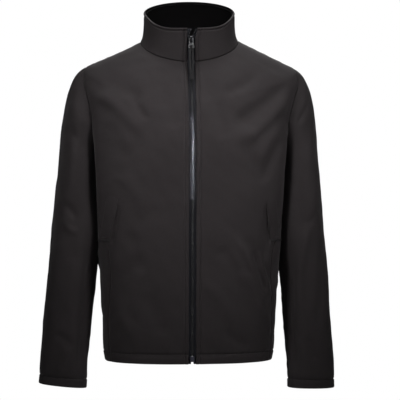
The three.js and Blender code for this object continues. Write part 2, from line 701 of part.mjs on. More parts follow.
for (const [side, word] of [[-1, 'right'], [1, 'left']]) {
  addPiece(`front_${word}`, frontPanel(side), 'cloth');
  addPiece(`side_${word}`, sidePanel(side), 'cloth');
  addPiece(`sleeve_${word}`, sleeve(side), 'cloth');
  addPiece(`pocket_welt_${word}`, pocketWelt(side), 'cloth');
  addPiece(`zip_tape_${word}`, tape(side), 'tape');
  addPiece(`zip_coil_open_${word}`, openCoil(side), 'coil');
}
addPiece('back', backPanel(), 'cloth');
addPiece('collar', collar(), 'cloth');
addPiece('zip_coil', coil(), 'coil');
addPiece('zip_stop', zipStop(), 'coil');
addPiece('zip_slider', slider(), 'metal');
addPiece('pull_tab', pullTab(), 'metal');
addPiece('puller', puller(), 'puller');

export default jacket;
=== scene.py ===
import math

import bmesh
import bpy
import numpy as np
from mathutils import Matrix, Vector


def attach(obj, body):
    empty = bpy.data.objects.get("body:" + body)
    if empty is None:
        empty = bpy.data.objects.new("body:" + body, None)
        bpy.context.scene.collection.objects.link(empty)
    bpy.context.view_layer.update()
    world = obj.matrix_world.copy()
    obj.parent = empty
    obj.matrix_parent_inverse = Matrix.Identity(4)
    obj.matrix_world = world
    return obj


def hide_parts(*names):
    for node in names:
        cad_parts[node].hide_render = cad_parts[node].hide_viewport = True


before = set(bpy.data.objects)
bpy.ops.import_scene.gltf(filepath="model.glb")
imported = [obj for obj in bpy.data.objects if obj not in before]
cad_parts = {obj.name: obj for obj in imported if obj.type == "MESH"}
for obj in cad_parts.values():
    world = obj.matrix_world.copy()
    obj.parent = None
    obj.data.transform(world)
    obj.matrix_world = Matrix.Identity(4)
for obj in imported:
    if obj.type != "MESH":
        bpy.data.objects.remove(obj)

# Sizes are millimetres in the jacket's own frame, except where a comment says metres.
MM = 0.001
HEM = -660.0
NECK = 4.0
CLOTH = 1.7
COLLAR_THICK = 2.0
WELT_THICK = 1.2
WELT_CLOTH_WIDTH = 23.0
WELT_RAISED = 0.8
WELT_SUNK = 2.2
WELT_ROUND = 2.2
COLLAR_FULLER = 1.1
THINNEST = 0.15
SEAM = 0.06
SEAM_ROUND = 0.5
SEAM_GROOVE = 1.1
LIP = 7.5
STITCH_FROM_LIP = 7.8
HEM_STITCH = 20.0
CUFF_STITCH = 18.0
COLLAR_STITCH = 5.5
FOLD_THIN = 0.6
FOLD_FULL = 0.6
STITCH_DEEP = 1.5
STITCH_WIDE = 1.7
STITCH_SINK = 0.08
GATHER = 0.3
HEM_GATHER = 0.35
LIP_GATHER = 0.22
FLAP = 2.5
COLLAR_FLAP = 3.0
SIDES = ((-1, "right"), (1, "left"))


class Table:
    """Sizes in named columns, read between the rows on one smooth curve through them."""

    def __init__(self, names, rows):
        self.names = names.split()
        self.rows = np.array(rows, float)

    def read(self, name, at):
        level = self.rows[:, 0]
        value = self.rows[:, self.names.index(name)]
        last = len(level) - 1
        before = np.maximum(np.arange(last + 1) - 1, 0)
        after = np.minimum(np.arange(last + 1) + 1, last)
        slope = (value[after] - value[before]) / (level[after] - level[before])
        at = np.clip(at, level[0], level[-1])
        i = np.clip(np.searchsorted(level, at, side="left") - 1, 0, last - 1)
        span = level[i + 1] - level[i]
        t = (at - level[i]) / span
        start = (2 * t**3 - 3 * t**2 + 1) * value[i] + (t**3 - 2 * t**2 + t) * span * slope[i]
        return start + (3 * t**2 - 2 * t**3) * value[i + 1] + (t**3 - t**2) * span * slope[i + 1]


# Body rings by the height of their side point, as in the source.
BODY = Table("side width front back square pressed press_turn front_high back_high crown", [
    (-660, 173.5, 113, 109, 2.5, 0, 14, -660, -660, 2.0),
    (-640, 178, 113.7, 108.5, 2.5, 0, 14, -640, -640, 2.0),
    (-600, 180, 115, 107, 2.5, 0, 14, -600, -600, 2.0),
    (-520, 184, 117, 104, 2.5, 0, 14, -520, -520, 2.0),
    (-487, 185.3, 118, 103.4, 2.55, 0, 14, -487, -487, 2.0),
    (-450, 191, 119, 103, 2.65, 4.5, 14, -450, -450, 2.0),
    (-380, 199, 121, 106, 2.7, 13.5, 20, -380, -380, 2.0),
    (-310, 210.5, 124, 112, 2.8, 23, 26, -310, -310, 2.0),
    (-250, 217.5, 126, 117, 2.8, 32.5, 27, -254, -250, 2.0),
    (-200, 220, 125, 120, 2.8, 27, 27, -214, -200, 1.9),
    (-160, 223, 122, 119, 2.7, 16, 27, -188, -160, 1.8),
    (-120, 225, 118, 115, 2.7, 6, 27, -166, -122, 1.8),
    (-80, 226, 114, 109, 2.6, 0, 27, -146, -86, 1.7),
    (-62, 222, 110, 104, 2.5, 0, 27, -132, -66, 1.7),
    (-50, 214, 107, 100, 2.5, 0, 27, -124, -54, 1.7),
    (-38, 189, 100, 90, 2.4, 0, 27, -104, -35, 1.6),
    (-21, 152, 91, 76, 2.3, 0, 27, -80, -14, 1.5),
    (-8, 125, 82, 62, 2.2, 0, 27, -60, 3, 1.35),
    (4, 101, 75, 48, 2.1, 0, 27, -44, 18, 1.2),
])
COLLAR = Table("part width front back side_high front_high back_high", [
    (0.0, 101, 75, 48, 4.3, -43.7, 18.3),
    (0.2, 96.5, 75.5, 49.5, 14, -30, 33),
    (0.5, 94, 75.3, 51, 33.5, -9, 56),
    (1.0, 93.7, 74.5, 53, 64, 25, 95),
])
COLLAR_SQUARE = 2.1
COLLAR_CROWN = 1.2
COLLAR_DIP = 1.6
SLEEVE = Table("high outer inner front back square", [
    (-714, 309, 210.5, -50, 20, 2.3),
    (-660, 306.8, 206.6, -54, 25, 2.3),
    (-590, 301.9, 201.4, -58, 32, 2.3),
    (-520, 296, 195.1, -63, 40, 2.3),
    (-480, 292.2, 191, -65.5, 44.5, 2.3),
    (-450, 289.4, 188, -68, 49, 2.3),
    (-380, 283.3, 187.5, -72, 61, 2.2),
    (-310, 277.8, 189.2, -74, 73, 2.1),
    (-258, 272.5, 189, -74, 80, 2.1),
])
SIDE_SEAM = Table("high front back", [
    (-660, 64, 116),
    (-553, 61.5, 114),
    (-440, 54, 112),
    (-380, 60, 112),
    (-300, 66, 111.9),
    (-212, 68.1, 111.9),
])
SHOULDERS_FROM = -170.0
SHOULDERS_OVER = 110.0
SHOULDERS_FADE_FROM = 90.0
SHOULDERS_FADE_OVER = 130.0
LEFT_WIDER = 0.033
LEFT_HIGHER = 0.03
RIGHT_LOWER = 0.015
ARMHOLE_MIDDLE = -145.0
ARMHOLE_HALF = 95.0
ARMHOLE_REACH = 31.0
ARMHOLE_OUT = 226.0
ARMHOLE_GAP = 0.1
CORNER_STEP = 9
ARMHOLE_STEPS = 24
BICEP = -258.0
CUFF_HIGH = {-1: -711.0, 1: -720.0}
CUFF_RISE = {-1: 5.5, 1: -0.5}
CUFF_LEAN = {-1: 3.0, 1: -3.0}
BICEP_OUT = {-1: 0.0, 1: 2.0}
SHOULDER_DROP = 26.0
UNDERARM_DROP = 60.0
CAP_REACH = 0.25
ARM_HANG = 0.45

# Folds: face (-1 front, 1 back), one end, the other end, bend to its left, spread and rise.
BODY_FOLDS = [
    (-1, -176, -46, -84, -84, 0, 12, 2.5),
    (-1, -182, -76, -90, -122, 0, 14, -3),
    (-1, -198, -98, -92, -200, 0, 16, 4),
    (-1, 204, -84, 76, -184, 0, 15, -5),
    (-1, 210, -108, 90, -218, 0, 16, 4.5),
    (-1, 180, -60, 110, -96, 0, 12, 2.5),
    (-1, 132, -448, 168, -538, 0, 9, 3.5),
    (-1, 158, -360, 150, -456, 0, 16, -4),
    (-1, 76, -420, 158, -600, 0, 14, 3),
    (-1, -120, -430, -150, -560, 0, 18, -2.5),
    (1, -190, -110, -90, -190, 0, 16, -4.5),
    (1, 186, -96, 96, -182, 0, 16, -4.5),
    (1, -150, -330, -40, -420, 0, 18, -4),
    (1, 160, -300, 60, -400, 0, 18, -4),
    (1, -110, -430, 30, -470, 0, 20, 3.5),
    (1, 120, -480, 20, -520, 0, 18, -3),
]
SLEEVE_FOLDS = [
    (-1, 250, -116, 212, -180, 0, 14, 3),
    (-1, 262, -150, 222, -240, 0, 14, -3),
    (-1, 262, -300, 256, -380, 0, 16, 2.5),
    (-1, 235, -400, 245, -560, 0, 16, -2.5),
    (1, 262, -160, 220, -230, 0, 16, -3),
    (1, 270, -420, 215, -450, 0, 16, -4),
    (1, 280, -470, 220, -500, 0, 16, 3),
]

# Creases too fine for the source, in the same columns. Those of the sleeves lie each on its own side.
CREASE_DEPTH = 2.0
BODY_CREASES = [
    (-1, 200, -88, 84, -184, 3, 11, -1.6),
    (-1, 206, -116, 96, -218, 4, 12, 1.5),
    (-1, -182, -80, -92, -126, -3, 11, -1.3),
    (-1, -194, -104, -98, -198, 4, 12, 1.3),
    (-1, -120, -114, -88, -170, -4, 9, -1.8),
    (-1, -176, -150, -120, -236, 6, 16, 1.8),
    (-1, -156, -334, -160, -366, 0, 3.5, -1.8),
    (-1, -60, -96, -30, -190, -3, 15, -1.2),
    (-1, -150, -270, -90, -362, 5, 18, 1.2),
    (-1, -92, -506, -50, -606, -5, 16, -1.4),
    (-1, -160, -556, -96, -632, 4, 15, 1.1),
    (-1, -132, -386, -104, -486, 3, 16, -1.0),
    (-1, 146, -66, 58, -112, 5, 12, -1.8),
    (-1, 196, -158, 128, -262, -7, 15, 2.0),
    (-1, 190, -196, 142, -300, -5, 12, -1.6),
    (-1, 40, -120, 66, -210, 4, 14, -1.1),
    (-1, 137, -419, 167, -518, -3, 3.6, 2.0),
    (-1, 128, -424, 157, -520, -3, 6, -1.9),
    (-1, 109, -468, 147, -574, 4, 9, 1.8),
    (-1, 52, -420, 100, -486, 3, 15, -1.4),
    (-1, 14, -486, 96, -584, 3, 14, 1.0),
    (-1, 60, -590, 120, -628, -4, 10, -1.2),
    (-1, 84, -396, 163, -566, 5, 8, 2.0),
    (-1, 106, -398, 170, -512, 4, 11, -1.8),
    (-1, 152, -552, 170, -610, 2, 7, 1.4),
    (1, -176, -96, -60, -208, 8, 11, 3.0),
    (1, -166, -168, -108, -262, -5, 9, -2.0),
    (1, 182, -108, 84, -226, -7, 10, 2.8),
    (1, 150, -206, 88, -272, 5, 9, -1.8),
    (1, -24, -60, 18, -150, 6, 16, -1.6),
    (1, -172, -352, -58, -404, 9, 8, 2.6),
    (1, -150, -388, -20, -446, -8, 10, -2.4),
    (1, 168, -322, 70, -388, 7, 8, 2.4),
    (1, 142, -366, 44, -436, -6, 9, 2.0),
    (1, -20, -420, 72, -462, 8, 9, 1.8),
    (1, -128, -508, -92, -612, -6, 12, 2.0),
    (1, 104, -530, 132, -624, 5, 12, -1.8),
    (1, 26, -500, 10, -604, 4, 14, 1.5),
]
SLEEVE_CREASES = [
    (-1, -238, -96, -250, -330, 8, 15, 2.2),
    (-1, -262, -176, -226, -214, 4, 9, -1.5),
    (-1, -270, -330, -232, -372, 5, 9, -1.8),
    (-1, -266, -362, -228, -398, -5, 8, 1.5),
    (-1, -240, -440, -262, -560, 6, 13, 1.8),
    (-1, -282, -600, -236, -636, 5, 9, -1.4),
    (-1, -248, -624, -272, -690, -3, 10, 1.3),
    (-1, 254, -112, 214, -176, 3, 7, -2.2),
    (-1, 268, -236, 262, -330, 3, 7, 2.2),
    (-1, 250, -352, 216, -650, -9, 11, 3.0),
    (-1, 276, -400, 262, -610, 7, 14, -2.6),
    (-1, 282, -346, 240, -384, -5, 7, -1.5),
    (-1, 288, -470, 280, -560, 4, 8, 1.6),
    (-1, 236, -610, 262, -668, 4, 9, -1.4),
    (1, -262, -190, -214, -238, 6, 9, -2.2),
    (1, -276, -380, -206, -420, 7, 7, -2.6),
    (1, -272, -404, -210, -446, -6, 7, 2.6),
    (1, -278, -440, -214, -470, 5, 8, -2.2),
    (1, -284, -520, -226, -572, 5, 10, 1.6),
    (1, 258, -206, 216, -246, -5, 9, 2.0),
    (1, 274, -366, 212, -404, -7, 7, 2.4),
    (1, 280, -392, 212, -424, 6, 7, -2.4),
    (1, 284, -500, 224, -540, -5, 9, -1.8),
    (1, 262, -560, 286, -660, 5, 12, 1.8),
]
# On the side panels the first column is the side, and depths stand in place of distances to the left.
SIDE_CREASES = [
    (-1, 16, -300, -52, -352, 6, 10, -2.0),
    (-1, 44, -322, -30, -378, -5, 8, 1.9),
    (-1, -40, -430, 34, -474, 7, 10, 1.7),
    (-1, 30, -520, -34, -596, 5, 12, -1.6),
    (1, -24, -310, 46, -346, -5, 9, 1.9),
    (1, 48, -372, -36, -412, 6, 9, -2.0),
    (1, -44, -462, 24, -520, -6, 11, 1.8),
    (1, 40, -548, -12, -612, 4, 12, -1.5),
]

# Welts and zip, placed as in the source.
WELT_LOW = -413.0
WELT_LOW_X = 164.0
WELT_HIGH = -308.0
WELT_HIGH_X = 147.5
WELT_WIDTH = 24.0
TAPE_REACH = 14.0
TAPE_NEAR = 2.6
TAPE_THICK = 0.9
TAPE_SPLIT = 0.7
NECK_CURVE = 120.0
BODY_NECK_FRONT = -44.0
COIL_MIDDLE = 1.0
COIL_PITCH = 1.4
COIL_REACH = 3.15
COIL_OVERLAP = 0.85
COIL_OPEN_REACH = 2.9
COIL_OPEN_OVERLAP = 0.3
COIL_CLEAR = 1.2
PARTS_FROM = -2.0
LEFT_LIP_PARTS = 5.5
TAPE_PARTS = 2.2
TAPE_LEANS = {-1: 5.0, 1: 6.0}
TAPE_RIB_HIGH = 0.15
TAPE_RIB_WIDE = 3.2
NOTCH_WIDE = 1.9
COLLAR_TOP = 25.0
SLIDER_LOW = -6.0
SLIDER_HIGH = 10.0
STOP_TOP = -643.5
NOTCH_TOP = -645.0


def smooth(t):
    s = np.clip(t, 0, 1)
    return s * s * (3 - 2 * s)


def mix(a, b, t):
    return a + (b - a) * t


def word_of(side):
    return "left" if side > 0 else "right"


def square_size(s, c, power):
    """How far a rounded square reaches in the direction that a sine and cosine give."""
    return (np.abs(s)**power + np.abs(c)**power)**(1 / power)


def fold_rise(folds, face, x, z):
    """How far the folds of one face lift the cloth at a place."""
    rise = np.zeros(np.broadcast(x, z).shape)
    for fold_face, x0, z0, x1, z1, bend, spread, high in folds:
        dx, dz = x1 - x0, z1 - z0
        run = math.hypot(dx, dz)
        t = ((x - x0) * dx + (z - z0) * dz) / run**2
        inside = np.clip(t, 0, 1)
        off = ((z - z0) * dx - (x - x0) * dz) / run - bend * 4 * inside * (1 - inside)
        ends = smooth(4 * t) * smooth(4 * (1 - t))
        rise += np.where(face == fold_face, high * np.exp(-(off / spread)**2) * ends, 0)
    return rise


WAVES = 10


def ripple(points, size, seed):
    """A soft, uneven wave through space, about one high, that repeats every size millimetres or so."""
    rng = np.random.default_rng(seed)
    total = np.zeros(points.shape[:-1])
    for _ in range(WAVES):
        way = rng.normal(size=3)
        way /= np.linalg.norm(way)
        phase = rng.uniform(0, 2 * math.pi)
        total += np.cos(points @ way * (2 * math.pi / (size * rng.uniform(0.7, 1.5))) + phase)
    return total / math.sqrt(WAVES)


def settled(points, ring):
    """Points moved as the shoulders sit, the left one a little wider and higher."""
    share = smooth((ring - SHOULDERS_FROM) / SHOULDERS_OVER)
    x = points[..., 0]
    near = 1 - smooth((np.abs(x) - SHOULDERS_FADE_FROM) / SHOULDERS_FADE_OVER)
    points[..., 2] += np.where(x > 0, LEFT_HIGHER, RIGHT_LOWER) * x * share * near
    points[..., 0] = np.where(x > 0, x * (1 + LEFT_WIDER * share), x)
    return points


def body_point(turn, ring):
    """A point on the outside of the body, by its turn from the middle front and its ring."""
    turn, ring = np.broadcast_arrays((np.asarray(turn, float) + 180) % 360 - 180, np.asarray(ring, float))
    s = np.sin(np.radians(turn))
    c = np.cos(np.radians(turn))
    size = square_size(s, c, BODY.read("square", ring))
    depth = np.where(c > 0, BODY.read("front", ring), BODY.read("back", ring))
    middle = np.where(c > 0, BODY.read("front_high", ring), BODY.read("back_high", ring))
    from_side = (np.abs(turn) - 90) / BODY.read("press_turn", ring)
    pressed = BODY.read("pressed", ring) * np.exp(-from_side**4)
    x = BODY.read("width", ring) * s / size - np.sign(s) * pressed
    z = mix(ring, middle, np.abs(c)**BODY.read("crown", ring))
    face = np.where(c > 0, -1, 1)
    calm = smooth(np.abs(c) * 3) * smooth((np.abs(x) - LIP) / 30)
    rise = fold_rise(BODY_FOLDS, face, x, z) * calm
    return settled(np.stack([x + s * rise, -depth * c / size - c * rise, z], -1), ring)


def collar_point(turn, part):
    turn, part = np.broadcast_arrays(np.asarray(turn, float), np.asarray(part, float))
    s = np.sin(np.radians(turn))
    c = np.cos(np.radians(turn))
    size = square_size(s, c, COLLAR_SQUARE)
    level = np.abs(c)**COLLAR_CROWN
    dipped = np.sin(np.pi / 2 * np.abs(c)**COLLAR_DIP)
    share = np.where(c > 0, mix(level, dipped, part), mix(level, np.abs(c), part))
    middle = np.where(c > 0, COLLAR.read("front_high", part), COLLAR.read("back_high", part))
    depth = np.where(c > 0, COLLAR.read("front", part), COLLAR.read("back", part))
    x = COLLAR.read("width", part) * s / size
    z = mix(COLLAR.read("side_high", part), middle, share)
    return settled(np.stack([x, -depth * c / size, z], -1), NECK)


def armhole_turn(step):
    return 90 - ARMHOLE_REACH * np.sin(2 * np.pi * np.asarray(step) / ARMHOLE_STEPS)


def armhole_ring(step):
    return ARMHOLE_MIDDLE + ARMHOLE_HALF * np.cos(2 * np.pi * np.asarray(step) / ARMHOLE_STEPS)


def sleeve_section(side, angle, high):
    """A point round a sleeve section: 0 is its outer side, 90 its front."""
    angle, high = np.broadcast_arrays(np.asarray(angle, float), np.asarray(high, float))
    fallen = np.maximum(0, (BICEP - high) / (BICEP - CUFF_HIGH[side]))
    lean = CUFF_LEAN[side] * fallen**2 + BICEP_OUT[side] * (1 - fallen)**3
    s = np.sin(np.radians(angle))
    c = np.cos(np.radians(angle))
    size = square_size(s, c, SLEEVE.read("square", high))
    outer, inner = SLEEVE.read("outer", high), SLEEVE.read("inner", high)
    front, back = SLEEVE.read("front", high), SLEEVE.read("back", high)
    x = (outer + inner) / 2 + lean + (outer - inner) / 2 * c / size
    y = (front + back) / 2 - (back - front) / 2 * s / size
    return np.stack([side * x, y, high + CUFF_RISE[side] * smooth(fallen) * c], -1)


def unit(vectors):
    return vectors / np.linalg.norm(vectors, axis=-1, keepdims=True)


def sleeve_point(side, angle, length):
    """The outside of a sleeve by angle and length: 0 to 1 is the cap, 1 to 2 the hanging part."""
    angle, length = np.broadcast_arrays(np.asarray(angle, float) % 360, np.asarray(length, float))
    step = angle / 360 * ARMHOLE_STEPS
    start = body_point(side * armhole_turn(step), armhole_ring(step))
    start = start + ARMHOLE_GAP * unit(np.array([side * ARMHOLE_OUT, 0, ARMHOLE_MIDDLE]) - start)
    end = sleeve_section(side, angle, BICEP)
    reach = np.linalg.norm(end - start, axis=-1)[..., None]
    upper = ((1 + np.cos(np.radians(angle))) / 2)**1.5
    drop = np.radians(mix(UNDERARM_DROP, SHOULDER_DROP, upper))
    away = np.stack([side * np.cos(drop), 0 * drop, -np.sin(drop)], -1)
    leave = start + CAP_REACH * reach * away
    hang = unit(end - sleeve_section(side, angle, BICEP - 20))
    arrive = end + ARM_HANG * reach * hang
    t = np.clip(length, 0, 1)[..., None]
    cap = (1 - t)**3 * start + 3 * t * (1 - t)**2 * leave + 3 * t**2 * (1 - t) * arrive + t**3 * end
    arm = sleeve_section(side, angle, mix(BICEP, CUFF_HIGH[side], np.clip(length - 1, 0, 1)))
    point = np.where(length[..., None] <= 1, cap, arm)
    s = np.sin(np.radians(angle))
    face = np.where(s > 0, -1, 1)
    calm = smooth(np.abs(s) * 2) * smooth(length * 3)
    rise = fold_rise(SLEEVE_FOLDS, face, np.abs(point[..., 0]), point[..., 2]) * calm
    point[..., 1] += face * rise
    return point


# Places along a length

EDGE_STEPS = [0, 0.2, 0.6, 1.1, 1.8, 2.8, 4.2]


def stitched(at):
    """Steps from a folded edge across its topstitching."""
    return [0, 0.2, 0.6, 1.1, 1.8, 3.0, at - 2.4, at - 1.2, at - 0.5, at, at + 0.5, at + 1.2, at + 2.4]


def spaced(total, near, far, count):
    """Distances along a length: fixed steps from both its ends and even ones between."""
    middle = mix(near[-1], total - far[-1], np.linspace(0, 1, count + 2)[1:-1])
    return np.concatenate([near, middle, total - np.array(far[::-1])])


def run_along(points, axis):
    """Distance along a grid's rows (axis 1) or columns (axis 0) from its first point."""
    steps = np.linalg.norm(np.diff(points, axis=axis), axis=-1)
    pad = [(1, 0), (0, 0)] if axis == 0 else [(0, 0), (1, 0)]
    return np.cumsum(np.pad(steps, pad), axis=axis)


def even_columns(place, first, last, near, far, count):
    """For each row, the places between first and last that lie at the same distances along it."""
    share = np.linspace(0, 1, 241)
    fine = mix(first[:, None], last[:, None], share[None, :])
    run = run_along(place(fine), 1)
    return np.array([
        np.interp(spaced(run[i, -1], near, far, count), run[i], fine[i]) for i in range(len(fine))
    ])


def edge_distance(points, line):
    """Distance of each point from a line of points."""
    start, way = line[:-1], np.diff(line, axis=0)
    long = np.maximum((way**2).sum(-1), 1e-9)
    nearest = []
    for row in points:
        off = row[:, None, :] - start[None]
        t = np.clip((off * way).sum(-1) / long, 0, 1)
        nearest.append(np.linalg.norm(off - t[..., None] * way, axis=-1).min(1))
    return np.array(nearest)


# Shapes of edges and seams, as heights over the flat cloth

def round_edge(distance, wide, deep):
    short = np.clip(1 - distance / wide, 0, 1)
    return -deep * (1 - np.sqrt(1 - short**2))


def valley(distance, at, deep, wide):
    return -deep * np.exp(-((distance - at) / wide)**2)


def folded_edge(distance, at):
    """A turned edge with a row of topstitching."""
    full = FOLD_FULL * np.sin(np.pi * np.clip(distance / at, 0, 1))**0.7
    return round_edge(distance, 1.0, 0.75) + full + valley(distance, at, STITCH_DEEP, STITCH_WIDE)


def pucker(points, distance, at, high, seed):
    """Small gathers across a seam or a row of stitches."""
    return high * ripple(points, 15, seed) * np.exp(-((distance - at) / 7)**2)


class Cloth:
    """One cut piece on a grid of points, with rows along it and columns across it."""

    def __init__(self, name, points, outward=1, around=False, thick=CLOTH):
        self.name = name
        self.points = points
        self.across = run_along(points, 1)
        self.along = run_along(points, 0)
        self.to_sides = np.minimum(self.across, self.across[:, -1:] - self.across)
        self.to_top = self.along[-1] - self.along
        self.outward = outward
        self.around = around
        self.thick = np.full(points.shape[:2], float(thick))
        self.lift = np.zeros(points.shape[:2])
        self.tuck = np.zeros(points.shape[:2])
        self.under = np.zeros(points.shape)
        if around:
            across = np.roll(points, -1, 1) - np.roll(points, 1, 1)
        else:
            across = np.gradient(points, axis=1)
        self.normals = unit(np.cross(across, np.gradient(points, axis=0))) * outward

    def seam(self, distance, wide=4.0):
        """Round the face down to a seam and leave the inner side in place."""
        groove = SEAM_GROOVE * (1 - smooth((distance - 0.45) / 0.5))
        fallen = round_edge(distance, wide, SEAM_ROUND) - groove
        self.lift += fallen
        self.tuck += fallen

    def thin_edges(self, *distances):
        """Thin the wall right at its folded edges."""
        self.tuck -= FOLD_THIN * sum(np.clip(1 - distance, 0, 1) for distance in distances).clip(0, 1)

    def gather(self, distance, at, high, seed, calm=1):
        self.lift += pucker(self.points, distance, at, high, seed) * calm

    def body_seams(self, to_seam, to_end, along, seed, calm=1):
        """The seams, hem and gathers that every body panel has."""
        self.seam(np.minimum(to_seam, to_end))
        self.lift += drawn_in(self.points, to_seam) + folded_edge(along, HEM_STITCH)
        self.gather(along, HEM_STITCH, HEM_GATHER, 41, smooth(along / 6))
        self.gather(to_seam, 4, GATHER, seed, calm)

    def tuck_under(self, reach):
        """Carry the inner side of the first row on under the piece it is sewn to."""
        self.under[0] = unit(self.points[0] - self.points[1]) * reach

    def tuck_sides_under(self, reach):
        """The same for the first and last columns."""
        self.under[:, 0] = unit(self.points[:, 0] - self.points[:, 1]) * reach
        self.under[:, -1] = unit(self.points[:, -1] - self.points[:, -2]) * reach

    def outer(self):
        return self.points + self.normals * self.lift[..., None]

    def inner(self):
        wall = np.maximum(self.thick + self.tuck, THINNEST)
        return self.outer() - self.normals * wall[..., None] + self.under

    def build(self, finishes):
        rows, columns = self.points.shape[:2]
        spans = columns if self.around else columns - 1
        i, j = np.meshgrid(np.arange(rows - 1), np.arange(spans), indexing="ij")
        i, j = i.ravel(), j.ravel()

        def at(layer, row, column):
            return (layer * rows + row) * columns + column % columns

        def quads(*corners):
            return np.stack(corners, -1)

        faces = [
            quads(at(0, i, j), at(0, i, j + 1), at(0, i + 1, j + 1), at(0, i + 1, j)),
            quads(at(1, i, j), at(1, i + 1, j), at(1, i + 1, j + 1), at(1, i, j + 1)),
        ]
        k, top = np.arange(spans), rows - 1
        faces.append(quads(at(0, 0, k), at(1, 0, k), at(1, 0, k + 1), at(0, 0, k + 1)))
        faces.append(quads(at(0, top, k), at(0, top, k + 1), at(1, top, k + 1), at(1, top, k)))
        if not self.around:
            m, end = np.arange(rows - 1), columns - 1
            faces.append(quads(at(0, m, 0), at(0, m + 1, 0), at(1, m + 1, 0), at(1, m, 0)))
            faces.append(quads(at(0, m, end), at(1, m, end), at(1, m + 1, end), at(0, m + 1, end)))
        faces = np.concatenate(faces)
        inside = np.zeros(len(faces), int)
        inside[len(i):2 * len(i)] = 1
        if self.outward < 0:
            faces = faces[:, ::-1]
        points = np.concatenate([self.outer().reshape(-1, 3), self.inner().reshape(-1, 3)])
        uv = np.stack([self.across, self.along], -1).reshape(-1, 2) * MM
        mesh = bpy.data.meshes.new(self.name)
        mesh.from_pydata(points * MM, [], faces.tolist())
        layer = mesh.uv_layers.new(name="cloth")
        corners = faces.ravel() % (rows * columns)
        spread = uv[corners]
        if self.around:
            column = (corners % columns).reshape(-1, 4)
            crossing = (column == 0) & ((column == columns - 1).any(1))[:, None]
            closing = np.linalg.norm(self.points[:, 0] - self.points[:, -1], axis=-1)
            girth = (self.across[:, -1] + closing) * MM
            spread[:, 0] = np.where(crossing.ravel(), girth[corners // columns], spread[:, 0])
        layer.uv.foreach_set("vector", spread.astype(np.float32).ravel())
        for finish in finishes:
            mesh.materials.append(finish)
        mesh.polygons.foreach_set("material_index", inside)
        mesh.shade_smooth()
        piece = link(self.name, mesh)
        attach(piece, "shell")
        return piece


def link(name, data):
    thing = bpy.data.objects.new(name, data)
    bpy.context.scene.collection.objects.link(thing)
    return thing


def raw_piece(name, points, faces, finish):
    """A piece of the shell from points in millimetres and faces."""
    mesh = bpy.data.meshes.new(name)
    mesh.from_pydata(np.asarray(points) * MM, [], [list(map(int, face)) for face in faces])
    mesh.materials.append(finish)
    mesh.shade_smooth()
    piece = link(name, mesh)
    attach(piece, "shell")
    return piece


# Shader maths

class Wire:
    """A value in one material's nodes, so that sums on it read as Python."""

    def __init__(self, paint, socket):
        self.paint = paint
        self.socket = socket

    def work(self, operation, *values):
        node = self.paint.node("ShaderNodeMath", {"operation": operation}, dict(enumerate(values)))
        return Wire(self.paint, node.outputs[0])

    def __add__(self, other):
        return self.work("ADD", self, other)

    def __sub__(self, other):
        return self.work("SUBTRACT", self, other)

    def __mul__(self, other):
        return self.work("MULTIPLY", self, other)

    def __rsub__(self, other):
        return self.work("SUBTRACT", other, self)

    __radd__ = __add__
    __rmul__ = __mul__

    def sine(self):
        return self.work("SINE", self)

    def wave(self, every):
        """A sine of a distance that comes round again at each step of every metres."""
        return (self * (2 * math.pi / every)).sine()

    def size(self):
        return self.work("ABSOLUTE", self)


class Paint:
    """A material with one principled shader, built node by node."""

    def __init__(self, name, **constants):
        self.material = bpy.data.materials.new(name)
        self.material.use_nodes = True
        self.tree = self.material.node_tree
        self.tree.nodes.clear()
        end = self.tree.nodes.new("ShaderNodeOutputMaterial")
        self.shader = self.tree.nodes.new("ShaderNodeBsdfPrincipled")
        self.tree.links.new(self.shader.outputs[0], end.inputs[0])
        for socket, value in constants.items():
            self.set(socket.replace("_", " "), value)

    def set(self, socket, value):
        self.put(self.shader.inputs[socket], value)

    def put(self, socket, value):
        if isinstance(value, Wire):
            self.tree.links.new(value.socket, socket)
        else:
            socket.default_value = value

    def node(self, kind, settings, inputs):
        node = self.tree.nodes.new(kind)
        for name, value in settings.items():
            setattr(node, name, value)
        for socket, value in inputs.items():
            self.put(node.inputs[socket], value)
        return node

    def wire(self, kind, settings, inputs, output=0):
        return Wire(self, self.node(kind, settings, inputs).outputs[output])

    def place(self):
        return self.wire("ShaderNodeTexCoord", {}, {}, "Object")

    def along_cloth(self):
        """The two distances over the cut piece, in metres."""
        uv = self.wire("ShaderNodeTexCoord", {}, {}, "UV")
        apart = self.node("ShaderNodeSeparateXYZ", {}, {0: uv})
        return Wire(self, apart.outputs[0]), Wire(self, apart.outputs[1])

    def noise(self, scale, detail=2.0, rough=0.5):
        """Noise from -1 to 1 about its middle."""
        inputs = {"Vector": self.place(), "Scale": scale, "Detail": detail, "Roughness": rough}
        return self.wire("ShaderNodeTexNoise", {}, inputs) * 2 - 1

    def blend(self, share, low, high):
        inputs = {0: share, 6: (*low, 1), 7: (*high, 1)}
        return self.wire("ShaderNodeMix", {"data_type": "RGBA"}, inputs, 2)

    def surface(self, grain, share, low, high, rough, relief):
        """Colour, roughness and relief from one grain."""
        self.set("Base Color", self.blend(grain * share[0] + share[1], low, high))
        self.set("Roughness", rough[0] + grain * rough[1])
        self.set("Normal", self.bump(grain, *relief))
        return self.material

    def bump(self, height, distance, strength=1.0, normal=None):
        inputs = {"Height": height, "Distance": distance, "Strength": strength}
        if normal is not None:
            inputs["Normal"] = normal
        return self.wire("ShaderNodeBump", {}, inputs)


# Steps of the threads, in metres. The reliefs of the finishes are in metres too.
WEAVE_STEP = 0.0009
RIB_STEP = 0.0011
RIB_THREAD_STEP = 0.0007


